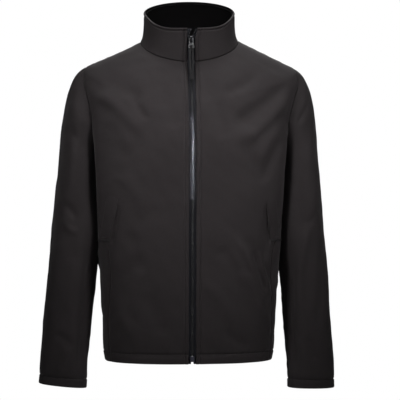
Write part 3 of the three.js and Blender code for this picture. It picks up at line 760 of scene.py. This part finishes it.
def shell_face():
    """The smooth woven face of the softshell."""
    paint = Paint("shell_face", Sheen_Weight=0.12, Sheen_Roughness=0.5, Specular_IOR_Level=0.35)
    u, v = paint.along_cloth()
    weave = u.wave(WEAVE_STEP) * v.wave(WEAVE_STEP)
    mottle = paint.noise(9, 3, 0.6) * 0.5 + paint.noise(160, 2, 0.6) * 0.35
    share = mottle + weave * 0.15 + 0.5
    paint.set("Base Color", paint.blend(share, (0.0255, 0.0207, 0.0219), (0.0380, 0.0310, 0.0327)))
    paint.set("Roughness", 0.72 + mottle * 0.06 - weave * 0.03)
    crinkle = paint.bump(paint.noise(55, 3, 0.55), 0.0004, 0.6)
    paint.set("Normal", paint.bump(weave, 0.00006, 0.5, crinkle))
    return paint.material


def shell_inside():
    """The brushed inner face. Its colour is far darker than the outer face: the backing's own dark tone,
    with painted shade of the jacket's inside on top.
    """
    paint = Paint("shell_inside", Sheen_Weight=0.03, Sheen_Roughness=0.6, Specular_IOR_Level=0.1)
    nap = paint.noise(900, 2, 0.7)
    # Painted shade: these colours are set down to the shaded tone inside the collar and body.
    low, high = (0.0030, 0.0027, 0.0029), (0.0066, 0.0060, 0.0063)
    return paint.surface(nap, (0.4, 0.5), low, high, (0.9, 0.05), (0.0002, 0.6))


def sewing_thread():
    paint = Paint("sewing_thread", Specular_IOR_Level=0.4, Sheen_Weight=0.1)
    twist = paint.noise(700, 1, 0.5).sine()
    # Painted shade: the thread is darker than the cloth so that the stitch rows show as shaded grooves, on
    # top of its own black.
    low, high = (0.009, 0.0082, 0.0088), (0.019, 0.0172, 0.0185)
    return paint.surface(twist, (0.5, 0.5), low, high, (0.55, 0.08), (0.00008, 0.5))


def tape_cloth():
    """Ribbed navy-black zip tape."""
    paint = Paint("tape_cloth", Specular_IOR_Level=0.35)
    u, v = paint.along_cloth()
    rib = u.wave(RIB_STEP)
    fine = v.wave(RIB_THREAD_STEP) * rib.size()
    paint.set("Base Color", paint.blend(rib * 0.4 + 0.5, (0.012, 0.0125, 0.0170), (0.024, 0.0250, 0.0330)))
    paint.set("Roughness", 0.7 + fine * 0.06)
    paint.set("Normal", paint.bump(rib + fine * 0.5, 0.00012, 0.7))
    return paint.material


def coil_nylon():
    paint = Paint("coil_nylon", Specular_IOR_Level=0.6)
    grime = paint.noise(120, 3, 0.6)
    paint.set("Base Color", paint.blend(grime * 0.5 + 0.5, (0.008, 0.0085, 0.011), (0.015, 0.016, 0.019)))
    paint.set("Roughness", 0.23 + grime * 0.04)
    paint.set("Normal", paint.bump(paint.noise(1500, 1, 0.5), 0.00003, 0.4))
    return paint.material


def slider_metal():
    paint = Paint("slider_metal", Metallic=1.0)
    wear = paint.noise(260, 4, 0.65)
    low, high = (0.42, 0.43, 0.45), (0.68, 0.69, 0.71)
    return paint.surface(wear, (0.5, 0.5), low, high, (0.28, 0.1), (0.00004, 0.4))


def coated_metal():
    """The slider's dark coated casting, worn a little at random."""
    paint = Paint("coated_metal", Metallic=1.0)
    wear = paint.noise(300, 4, 0.65)
    low, high = (0.05, 0.052, 0.058), (0.12, 0.122, 0.13)
    return paint.surface(wear, (0.5, 0.4), low, high, (0.36, 0.1), (0.00004, 0.4))


def stop_nylon():
    """The pale moulded stop at the foot."""
    paint = Paint("stop_nylon", Specular_IOR_Level=0.5)
    cloud = paint.noise(260, 2, 0.5)
    low, high = (0.060, 0.062, 0.085), (0.10, 0.10, 0.135)
    return paint.surface(cloud, (0.5, 0.5), low, high, (0.4, 0.06), (0.00005, 0.4))


def puller_rubber():
    paint = Paint("puller_rubber", Specular_IOR_Level=0.45)
    grain = paint.noise(1100, 2, 0.6)
    low, high = (0.009, 0.0088, 0.0098), (0.016, 0.0155, 0.017)
    return paint.surface(grain, (0.4, 0.5), low, high, (0.5, 0.07), (0.00006, 0.5))


# Body panels

CORNER_RING = float(armhole_ring(CORNER_STEP))


def beyond(seam, turn):
    return turn if seam == "front" else 180 - turn


def body_columns(rings, first, last, near, far, count):
    return even_columns(lambda turn: body_point(turn, rings[:, None]), first, last, near, far, count)


def panel_rows(seam):
    """Rings of a panel that reaches the armhole and the turn of its outer edge on each."""
    near_hem = [*stitched(HEM_STITCH), HEM_STITCH + 5]
    low = spaced(CORNER_RING - HEM, near_hem, [0], 96) + HEM
    steps = np.linspace(CORNER_STEP, 0, 55)[1:]
    shoulder = ARMHOLE_MIDDLE + ARMHOLE_HALF
    high = shoulder + spaced(NECK - shoulder, [0.5, 1.2, 2.4], [0, 0.12, 0.35, 0.8, 1.6, 3.0], 20)
    rings = np.concatenate([low, armhole_ring(steps), high])
    edges = np.concatenate([
        SIDE_SEAM.read(seam, low), beyond(seam, armhole_turn(steps)), np.full(len(high), 90.0),
    ])
    per_degree = np.linalg.norm(body_point(edges + 0.5, rings) - body_point(edges - 0.5, rings), axis=-1)
    inward = -1 if seam == "front" else 1
    return rings, edges + inward * SEAM / 2 / per_degree


def welt_place(points):
    """Where a point of the front lies against a welt: how far along it, off its middle line, and from it."""
    foot = np.array([WELT_LOW_X + WELT_WIDTH / 2, WELT_LOW])
    way = np.array([WELT_HIGH_X + WELT_WIDTH / 2, WELT_HIGH]) - foot
    off = np.stack([np.abs(points[..., 0]), points[..., 2]], -1) - foot
    part = off @ way / (way @ way)
    beside = (off[..., 0] * way[1] - off[..., 1] * way[0]) / np.linalg.norm(way)
    apart = np.linalg.norm(off - np.clip(part, 0, 1)[..., None] * way, axis=-1)
    return part, beside, apart


DRAWN_WIDE = 9.0
DRAWN_DEEP = 2.2
DRAWN_BELOW = -390.0


def drawn_in(points, to_seam):
    """How the side seams draw both their pieces in below the pockets."""
    z = points[..., 2]
    drawn = round_edge(to_seam, DRAWN_WIDE, DRAWN_DEEP)
    return drawn * smooth((DRAWN_BELOW - z) / 50) * smooth((z - HEM) / 25)


def cloth_life(points, seed):
    """The slight unevenness of worn cloth."""
    return 0.8 * ripple(points, 95, seed) + 0.35 * ripple(points, 38, seed + 1)


def creased(points, table, face, axis=0):
    return CREASE_DEPTH * fold_rise(table, face, points[..., axis], points[..., 2])


OPENING_APART = 2.0
OPENING_DEEP = 3.2
OPENING_WIDE = 4.0


def front_panel(side):
    rings, edges = panel_rows("front")
    first = np.degrees(np.arcsin(LIP / BODY.read("width", rings)))
    turns = body_columns(rings, first, edges, stitched(STITCH_FROM_LIP), EDGE_STEPS, 84)
    points = body_point(side * turns, rings[:, None])
    cloth = Cloth(f"front_{word_of(side)}_cloth", points, outward=side)
    across, along, to_neck = cloth.across, cloth.along, cloth.to_top
    to_seam = edge_distance(points, points[:, -1])
    part, beside, apart = welt_place(points)
    near_welt = smooth((apart - 15) / 12)
    calm = smooth(across / 26) * smooth(to_seam / 22) * near_welt * smooth(to_neck / 20)
    cloth.lift += (cloth_life(points, 11 + side) + creased(points, BODY_CREASES, -1)) * calm
    cloth.lift += folded_edge(across, STITCH_FROM_LIP)
    cloth.body_seams(to_seam, to_neck, along, 51 + side, near_welt)
    opening = smooth((part + 0.02) / 0.08) * smooth((0.78 - part) / 0.2)
    cloth.lift += valley(beside, -WELT_WIDTH / 2 - OPENING_APART, OPENING_DEEP, OPENING_WIDE) * opening
    cloth.gather(across, STITCH_FROM_LIP + 3, LIP_GATHER, 31 + side, smooth(across / 4))
    cloth.thin_edges(across, along)
    return cloth


def back_panel():
    rings, edges = panel_rows("back")
    points = body_point(body_columns(rings, edges, 360 - edges, EDGE_STEPS, EDGE_STEPS, 84), rings[:, None])
    cloth = Cloth("back_cloth", points)
    along, to_neck = cloth.along, cloth.to_top
    to_seam = np.minimum(edge_distance(points, points[:, 0]), edge_distance(points, points[:, -1]))
    calm = smooth(to_seam / 22) * smooth(to_neck / 20)
    cloth.lift += (1.3 * cloth_life(points, 21) + creased(points, BODY_CREASES, 1)) * calm
    cloth.body_seams(to_seam, to_neck, along, 53)
    cloth.thin_edges(along)
    return cloth


SIDE_ACROSS = 64.0
SIDE_ALONG = 448.0
SIDE_PER_DEGREE = 2.2


def side_panel(side):
    """A side panel runs up from the hem to the underarm part of the armhole."""
    first, last = armhole_turn(CORNER_STEP), armhole_turn(ARMHOLE_STEPS - CORNER_STEP)
    share = spaced(SIDE_ACROSS, EDGE_STEPS, EDGE_STEPS, 16)[None, :] / SIDE_ACROSS
    q = (90 - mix(first, last, share)) / ARMHOLE_REACH
    top = ARMHOLE_MIDDLE - ARMHOLE_HALF * np.sqrt(1 - q**2) - SEAM
    near_hem = [*stitched(HEM_STITCH), HEM_STITCH + 5]
    part = spaced(SIDE_ALONG, near_hem, EDGE_STEPS, 92)[:, None] / SIDE_ALONG
    level = mix(HEM, CORNER_RING, part)
    ring = mix(HEM, top, part)
    gap = SEAM / 2 / SIDE_PER_DEGREE
    front, back = SIDE_SEAM.read("front", level) + gap, SIDE_SEAM.read("back", level) - gap
    points = body_point(side * mix(front, back, share), ring)
    cloth = Cloth(f"side_{word_of(side)}_cloth", points, outward=side)
    along, to_seam = cloth.along, cloth.to_sides
    to_top = edge_distance(points, points[-1])
    slack = cloth_life(points, 61 + side) + creased(points, SIDE_CREASES, side, 1)
    cloth.lift += slack * smooth(to_seam / 14) * smooth(to_top / 30)
    cloth.body_seams(to_seam, to_top, along, 55 + side)
    cloth.tuck_sides_under(FLAP)
    cloth.thin_edges(along)
    return cloth


UNDERARM_ANGLE = 196.0
# Places along a sleeve from its cuff.
CUFF_STEPS = [0, 0.2, 0.6, 1.1, 1.8, 3, 15.5, 16.8, 17.5, CUFF_STITCH, 18.5, 19.2, 20.5, 26]
ARMHOLE_ROUND = 5.5
INNER_FRONT = 140.0
INNER_SPREAD = 27.0
INNER_FLAT = 12.0


def sleeve(side):
    round_arm = np.concatenate([[0, 0.35, 1.0, 2.0], np.linspace(4, 356, 110), [358, 359, 359.65]])
    angles = UNDERARM_ANGLE + round_arm
    fine = np.concatenate([np.linspace(0, 1, 161)[:-1], np.linspace(1, 2, 121)])
    run = run_along(sleeve_point(side, angles[None, :], fine[:, None]), 0)
    near = [*EDGE_STEPS, 7, 11]
    lengths = np.array([
        np.interp(spaced(run[-1, k], near, CUFF_STEPS, 150), run[:, k], fine) for k in range(len(angles))
    ]).T
    points = sleeve_point(side, angles[None, :], lengths)
    cloth = Cloth(f"sleeve_{word_of(side)}_cloth", points, outward=side, around=True)
    along, to_cuff = cloth.along, cloth.to_top
    to_underarm = np.abs((angles - UNDERARM_ANGLE + 180) % 360 - 180)[None, :] + 0 * along
    calm = smooth(along / 30) * smooth(to_cuff / 12)
    turn = np.radians(angles)[None, :]
    face = np.where(np.sin(turn) > 0, -1, 1)
    creases = creased(points, SLEEVE_CREASES, face) * np.sin(turn)**2
    cloth.lift += (cloth_life(points, 71 + side) + creases) * calm
    inner_front = np.exp(-((angles % 360 - INNER_FRONT) / INNER_SPREAD)**2)[None, :]
    cloth.lift -= INNER_FLAT * inner_front * smooth((along - 150) / 110) * smooth((to_cuff - 5) / 60)
    cloth.lift += folded_edge(to_cuff, CUFF_STITCH)
    cloth.seam(along, ARMHOLE_ROUND)
    cloth.tuck_under(FLAP)
    cloth.lift += valley(to_underarm, 0, 0.7, 1.2)
    cloth.gather(to_underarm, 4, GATHER, 81 + side, calm)
    cloth.gather(along, 5, GATHER, 83 + side)
    cloth.gather(to_cuff, CUFF_STITCH, GATHER, 85 + side, smooth(to_cuff / 6))
    cloth.thin_edges(to_cuff)
    return cloth


# Zip

FRONT_LINE = np.concatenate([
    body_point(np.zeros(140), np.concatenate([np.linspace(HEM, -200, 40), np.linspace(-199, NECK, 100)])),
    collar_point(np.zeros(30), np.linspace(0.02, 1, 30)),
])


def front_depth(z):
    return np.interp(z, FRONT_LINE[:, 2], FRONT_LINE[:, 1])


def zip_point(x, depth, z):
    """A point of the zip by its distance from the middle, its depth behind the lips and its height."""
    radius = NECK_CURVE + 3 * np.maximum(0, BODY_NECK_FRONT - z)
    return np.stack(np.broadcast_arrays(x, front_depth(z) + x**2 / (2 * radius) + depth, z), -1)


def lip_edge(side, z):
    return LIP + (LEFT_LIP_PARTS * smooth((z - PARTS_FROM) / 26) if side > 0 else 0 * z)


def tape_edge(side, z):
    parted = TAPE_PARTS * smooth((z - PARTS_FROM) / 8)
    leaning = TAPE_LEANS[side] * smooth((z - 8) / 16)
    notch = NOTCH_WIDE * smooth((NOTCH_TOP - z) / 14)
    return side * (TAPE_SPLIT + parted + notch) + leaning


def zip_tape(side):
    low, high = HEM + 0.5, COLLAR_TOP - 1.5
    z = spaced(high - low, [0, 2, 5, 9, 14, 20], [0, 2, 4, 6, 9, 12, 15, 19, 23, 27, 31], 150)[:, None] + low
    edge = tape_edge(side, z)
    reach = np.full_like(z, side * TAPE_REACH) if side < 0 else np.maximum(TAPE_REACH, edge + 4)
    share = np.linspace(0, 1, 15)[None, :]
    points = zip_point(mix(edge, reach, share), np.full_like(z, TAPE_NEAR), z)
    cloth = Cloth(f"zip_tape_{word_of(side)}_weave", points, outward=side, thick=TAPE_THICK)
    ribs = TAPE_RIB_HIGH * np.sin(cloth.across * 2 * math.pi / TAPE_RIB_WIDE)
    cloth.lift += round_edge(cloth.across, 0.8, 0.3) + ribs
    return cloth


TOOTH = Table("part lift deep high", [
    (0.0, 0.55, 0.5, 0.52),
    (0.25, 0.0, 0.62, 0.60),
    (0.6, -0.05, 0.66, 0.60),
    (0.85, 0.1, 0.62, 0.68),
    (1.0, 0.35, 0.30, 0.38),
])


def tube_faces(start, stations, sides):
    """Faces of a closed tube of rings whose first point has the number start."""
    faces = []
    for i in range(stations - 1):
        for j in range(sides):
            a, b = start + i * sides + j, start + i * sides + (j + 1) % sides
            faces.append([a, b, b + sides, a + sides])
    last = start + (stations - 1) * sides
    return faces + [[start + sides - 1 - j for j in range(sides)], [last + j for j in range(sides)]]


def teeth(name, side, heights, outer, inner, finish):
    """Rounded coil turns that reach from their tape over the middle."""
    part, turn = np.meshgrid(np.linspace(0, 1, 6), np.arange(8) * math.pi / 4, indexing="ij")
    points, faces = [], []
    for z in heights:
        x = mix(outer(z), inner(z), part)
        back = COIL_MIDDLE + TOOTH.read("lift", part) - TOOTH.read("deep", part) * np.cos(turn)
        tooth = zip_point(x, back, z + TOOTH.read("high", part) * np.sin(turn))
        faces += tube_faces(part.size * len(points), *part.shape)
        points.append(tooth.reshape(-1, 3))
    if side < 0:
        faces = [face[:1] + face[:0:-1] for face in faces]
    return raw_piece(name, np.concatenate(points), faces, finish)


def stitch_run(line, normals, length=3.0, gap=0.9, wide=0.28):
    """Stitches along a line of points on the cloth, as points and faces."""
    run = np.concatenate([[0], np.cumsum(np.linalg.norm(np.diff(line, axis=0), axis=-1))])
    count = int((run[-1] - gap) // (length + gap))
    starts = (run[-1] - count * (length + gap)) / 2 + np.arange(count) * (length + gap) + gap / 2
    stations = np.array([0, 0.12, 0.5, 0.88, 1]) * length
    radius = np.array([0.35, 0.9, 1.0, 0.9, 0.35]) * wide
    height = np.array([-0.28, 0.02, 0.1, 0.02, -0.28])
    where = starts[:, None] + stations[None, :]

    def along(values):
        return np.stack([np.interp(where, run, values[:, k]) for k in range(3)], -1)

    middle, up = along(line), unit(along(normals))
    way = unit(np.gradient(middle, axis=1))
    across = np.cross(way, up)
    turn = np.arange(6) * math.pi / 3
    ring = across[:, :, None] * np.cos(turn)[:, None] + up[:, :, None] * np.sin(turn)[:, None]
    points = middle[:, :, None] + up[:, :, None] * (height - STITCH_SINK + wide * 0.6)[:, None, None]
    points = points + ring * radius[:, None, None]
    each = len(stations) * len(turn)
    faces = [face for s in range(count) for face in tube_faces(s * each, len(stations), len(turn))]
    return points.reshape(-1, 3), faces


def stitching(name, runs, finish, **stitch):
    points, faces, start = [], [], 0
    for line, normals in runs:
        more, their = stitch_run(line, normals, **stitch)
        points.append(more)
        faces += [[start + k for k in face] for face in their]
        start += len(more)
    raw_piece(name, np.concatenate(points), faces, finish)


COLLAR_ALONG = 68.0


def collar():
    """The stand collar, open at the zip, with a rolled and topstitched top edge."""
    parts = spaced(COLLAR_ALONG, EDGE_STEPS, stitched(COLLAR_STITCH), 20) / COLLAR_ALONG
    middle_high = collar_point(0, parts)[:, 2]
    width = COLLAR.read("width", parts)
    first = np.degrees(np.arcsin(lip_edge(1, middle_high) / width))
    last = 360 - np.degrees(np.arcsin(lip_edge(-1, middle_high) / width))
    near = stitched(STITCH_FROM_LIP)
    turns = even_columns(lambda turn: collar_point(turn, parts[:, None]), first, last, near, near, 150)
    points = collar_point(turns, parts[:, None])
    cloth = Cloth("collar_cloth", points, thick=COLLAR_THICK)
    along, to_zip, to_top = cloth.along, cloth.to_sides, cloth.to_top
    calm = smooth(to_zip / 18) * smooth(along / 12) * smooth(to_top / 8)
    cloth.lift += 0.8 * cloth_life(points, 91) * calm
    cloth.lift += folded_edge(to_zip, STITCH_FROM_LIP) + folded_edge(to_top, COLLAR_STITCH)
    cloth.seam(along)
    cloth.tuck_under(COLLAR_FLAP)
    cloth.tuck += COLLAR_FULLER * smooth((to_zip - 12) / 20) * smooth(along / 10)
    cloth.thin_edges(to_zip, to_top)
    cloth.tuck -= valley(to_top, 7, -0.4, 1.2)
    return cloth


def turn_at(x, rings):
    """The turn from the middle front at which each ring is a given distance out to the side."""
    turns = np.linspace(0, 89, 900)
    reach = body_point(turns[None, :], rings[:, None])[..., 0]
    return np.array([np.interp(x[i], reach[i], turns) for i in range(len(rings))])


def pocket_welt(side):
    """A slanted welt over the pocket opening, sewn down at both its ends."""
    rings = spaced(WELT_HIGH - WELT_LOW, EDGE_STEPS, EDGE_STEPS, 40) + WELT_LOW
    share = (rings - WELT_LOW) / (WELT_HIGH - WELT_LOW)
    inner = mix(WELT_LOW_X, WELT_HIGH_X, share)
    first, last = turn_at(inner, rings), turn_at(inner + WELT_CLOTH_WIDTH, rings)
    turns = body_columns(rings, first, last, EDGE_STEPS, EDGE_STEPS, 8)
    points = body_point(side * turns, rings[:, None])
    cloth = Cloth(f"pocket_welt_{word_of(side)}_cloth", points, outward=side, thick=WELT_THICK)
    across, along, edge, to_top = cloth.across, cloth.along, cloth.to_sides, cloth.to_top
    end = np.minimum(along, to_top)
    sunk = WELT_SUNK * (1 - smooth(to_top / 26))
    cloth.lift += WELT_RAISED - sunk + round_edge(np.minimum(edge, end), WELT_ROUND, 0.6)
    cloth.lift += valley(along, 5, 1.0, 1.5) + valley(across, 3.5, 0.8, 1.5)
    cloth.lift += 0.25 * ripple(points, 40, 95 + side) * smooth(edge / 5)
    return cloth


# Rounding of the hard parts: what is one point, in metres, and angles between faces, in radians.
SAME_POINT = 2e-6
SAME_PLANE = 0.02
ROUNDED_FROM = 0.5
SHADED_SHARP_FROM = 0.6


def soft_copy(node, name, width, finish, body):
    """A copy of a hard CAD part with its edges rounded."""
    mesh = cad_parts[node].data.copy()
    mesh.name = name
    mesh.materials.clear()
    mesh.materials.append(finish)
    form = bmesh.new()
    form.from_mesh(mesh)
    bmesh.ops.remove_doubles(form, verts=form.verts, dist=SAME_POINT)
    bmesh.ops.dissolve_limit(form, angle_limit=SAME_PLANE, verts=form.verts, edges=form.edges)
    sharp = [edge for edge in form.edges if edge.is_manifold and edge.calc_face_angle(0) > ROUNDED_FROM]
    bmesh.ops.bevel(
        form, geom=sharp, offset=width * MM, segments=3, profile=0.5, affect="EDGES", clamp_overlap=True,
    )
    form.to_mesh(mesh)
    form.free()
    mesh.shade_smooth()
    mesh.set_sharp_from_angle(angle=SHADED_SHARP_FROM)
    piece = link(name, mesh)
    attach(piece, body)
    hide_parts(node)


def lay_sheet(cloth, finishes, node):
    piece = cloth.build(finishes)
    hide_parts(node)


def build_shell(face, inside):
    """The cut pieces of the jacket."""
    cloths = {}
    finishes = [face, inside]
    for side, word in SIDES:
        cloths[f"front_{word}"] = front_panel(side)
        cloths[f"side_{word}"] = side_panel(side)
        cloths[f"sleeve_{word}"] = sleeve(side)
        cloths[f"pocket_welt_{word}"] = pocket_welt(side)
    cloths["back"] = back_panel()
    cloths["collar"] = collar()
    for node, cloth in cloths.items():
        lay_sheet(cloth, finishes, node)
    return cloths


def sew(cloths, thread):
    """Topstitching on the lips, hem, cuffs, welts and collar, and bar tacks at the foot of each welt that
    also paint the shadow under it.
    """
    rows, tack_and_shadow_rows = [], []

    def stitch(runs, name, *place):
        runs.append((cloths[name].outer()[place], cloths[name].normals[place]))

    lip = stitched(STITCH_FROM_LIP).index(STITCH_FROM_LIP)
    for _, word in SIDES:
        stitch(rows, f"front_{word}", slice(8, -4), lip)
        stitch(rows, f"pocket_welt_{word}", slice(3, -10), 5)
        # Three close rows of wide dark stitches: real bar tacks that also paint the shadow under the foot of
        # the raised welt.
        for row in (4, 5, 6):
            stitch(tack_and_shadow_rows, f"pocket_welt_{word}", row, slice(1, -1))
        ring = np.r_[np.arange(cloths[f"sleeve_{word}"].points.shape[1]), 0]
        stitch(rows, f"sleeve_{word}", -1 - CUFF_STEPS.index(CUFF_STITCH), ring)
    for name in ("front_right", "front_left", "side_right", "side_left", "back"):
        stitch(rows, name, stitched(HEM_STITCH).index(HEM_STITCH), slice(3, -3))
    top = -1 - stitched(COLLAR_STITCH).index(COLLAR_STITCH)
    stitch(rows, "collar", top, slice(6, -6))
    rows.append((cloths["collar"].inner()[top, 6:-6], -cloths["collar"].normals[top, 6:-6]))
    for column in (lip, -1 - lip):
        stitch(rows, "collar", slice(4, -8), column)
    stitching("topstitching", rows, thread)
    stitching("bar_tacks_and_welt_shadow", tack_and_shadow_rows, thread, length=2.0, gap=0.1, wide=0.75)


def build_zip():
    tape, nylon = tape_cloth(), coil_nylon()
    for side, word in SIDES:
        lay_sheet(zip_tape(side), [tape, tape], f"zip_tape_{word}")
        closed = np.arange(STOP_TOP + COIL_CLEAR, SLIDER_LOW - 1.0, COIL_PITCH)
        closed += COIL_PITCH / 2 if side > 0 else 0
        row = teeth(
            f"coil_{word}", side, closed, lambda z: side * COIL_REACH, lambda z: -side * COIL_OVERLAP, nylon,
        )
        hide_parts("zip_coil")
        opened = np.arange(SLIDER_HIGH + COIL_CLEAR, COLLAR_TOP - 3 * COIL_CLEAR, COIL_PITCH)
        row = teeth(
            f"coil_open_{word}_turns", side, opened,
            lambda z: tape_edge(side, z) + side * COIL_OPEN_REACH,
            lambda z: tape_edge(side, z) - side * COIL_OPEN_OVERLAP, nylon,
        )
        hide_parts(f"zip_coil_open_{word}")
    soft_copy("zip_stop", "zip_stop_moulded", 0.5, stop_nylon(), "shell")
    soft_copy("zip_slider", "zip_slider_cast", 0.35, coated_metal(), "shell")
    soft_copy("pull_tab", "pull_tab_pressed", 0.3, slider_metal(), "pull")
    soft_copy("puller", "puller_strap", 0.5, puller_rubber(), "pull")


# Studio, in metres

CAMERA_TURN = math.radians(-4.5)
CAMERA_AWAY = 3.0
CAMERA_HIGH = -0.3276
CAMERA_ALONG = 0.0243
CAMERA_LENS = 128.6
FLOOR_RADIUS = 1.3
FLOOR_HIGH = -1.25
SKY_LIGHT = 0.05
SKY_SEEN = 1.0
WARM = (1, 0.985, 0.99)
WHITE = (1, 1, 1)

# Lights: name, place, target, width, height, power, tint and spread in degrees.
PAIRED_LIGHTS = [
    ("high", (0.7, -0.6, 1.15), (0, -0.05, -0.12), 0.6, 0.5, 0.72, WARM, 180),
    ("slant", (0.62, -0.85, 0.95), (0.01, -0.1, -0.18), 0.25, 0.2, 0.155, WARM, 33),
    ("chest", (1, -1.15, 0.25), (0.015, -0.1, -0.27), 0.25, 0.25, 0.22, WARM, 34),
    ("side", (1.6, -1.6, -0.45), (0, -0.05, -0.42), 0.7, 1.2, 2.2, WARM, 180),
]
SINGLE_LIGHTS = [
    ("streak", (0.04, -0.62, -0.236), (0, -0.125, -0.24), 0.004, 0.17, 0.024, WHITE, 1),
    ("above", (0.03, 0.1, 1.35), (0.01, -0.03, -0.03), 0.25, 0.2, 0.13, WARM, 26),
    ("behind", (0.25, 1.5, 0.9), (0, 0, -0.25), 1.2, 0.9, 11, WARM, 180),
]


def build_camera():
    data = bpy.data.cameras.new("camera")
    data.lens = CAMERA_LENS
    data.sensor_width = 36
    camera = link("camera", data)
    s, c = math.sin(CAMERA_TURN), math.cos(CAMERA_TURN)
    camera.location = (s * CAMERA_AWAY + c * CAMERA_ALONG, -c * CAMERA_AWAY + s * CAMERA_ALONG, CAMERA_HIGH)
    camera.rotation_euler = (math.pi / 2, 0, CAMERA_TURN)
    bpy.context.scene.camera = camera


def area_light(name, place, target, width, height, power, tint, spread):
    data = bpy.data.lights.new(name, "AREA")
    data.spread = math.radians(spread)
    data.shape = "RECTANGLE"
    data.size = width
    data.size_y = height
    data.energy = power
    data.color = tint
    light = link(name, data)
    light.visible_camera = False
    light.location = place
    light.rotation_euler = (Vector(target) - Vector(place)).to_track_quat("-Z", "Y").to_euler()


def build_lights():
    for side, word in reversed(SIDES):
        for name, (x, y, z), *rest in PAIRED_LIGHTS:
            area_light(f"{name}_{word}", (side * x, y, z), *rest)
    for light in SINGLE_LIGHTS:
        area_light(*light)


def build_sky():
    """Dim even light, and pure white where the camera looks past the jacket."""
    world = bpy.data.worlds.new("studio")
    world.use_nodes = True
    tree = world.node_tree
    tree.nodes.clear()
    end = tree.nodes.new("ShaderNodeOutputWorld")
    both = tree.nodes.new("ShaderNodeMixShader")
    seen = tree.nodes.new("ShaderNodeLightPath")
    for socket, strength in ((1, SKY_LIGHT), (2, SKY_SEEN)):
        sky = tree.nodes.new("ShaderNodeBackground")
        sky.inputs["Color"].default_value = (1, 1, 1, 1)
        sky.inputs["Strength"].default_value = strength
        tree.links.new(sky.outputs[0], both.inputs[socket])
    tree.links.new(seen.outputs["Is Camera Ray"], both.inputs[0])
    tree.links.new(both.outputs[0], end.inputs[0])
    bpy.context.scene.world = world
    bpy.context.scene.view_settings.view_transform = "Standard"


def build_floor():
    floor = bpy.data.meshes.new("studio_floor")
    turns = np.arange(64) * math.pi / 32
    ring = [(FLOOR_RADIUS * math.cos(turn), FLOOR_RADIUS * math.sin(turn), FLOOR_HIGH) for turn in turns]
    floor.from_pydata(ring, [], [list(range(len(ring)))])
    paint = Paint("pale_floor", Roughness=0.8)
    paint.set("Base Color", paint.blend(paint.noise(6) * 0.5 + 0.5, (0.78, 0.78, 0.78), (0.84, 0.84, 0.84)))
    floor.materials.append(paint.material)
    link("studio_floor", floor)


def main():
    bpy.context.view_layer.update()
    cloths = build_shell(shell_face(), shell_inside())
    sew(cloths, sewing_thread())
    build_zip()
    build_camera()
    build_lights()
    build_sky()
    build_floor()


main()
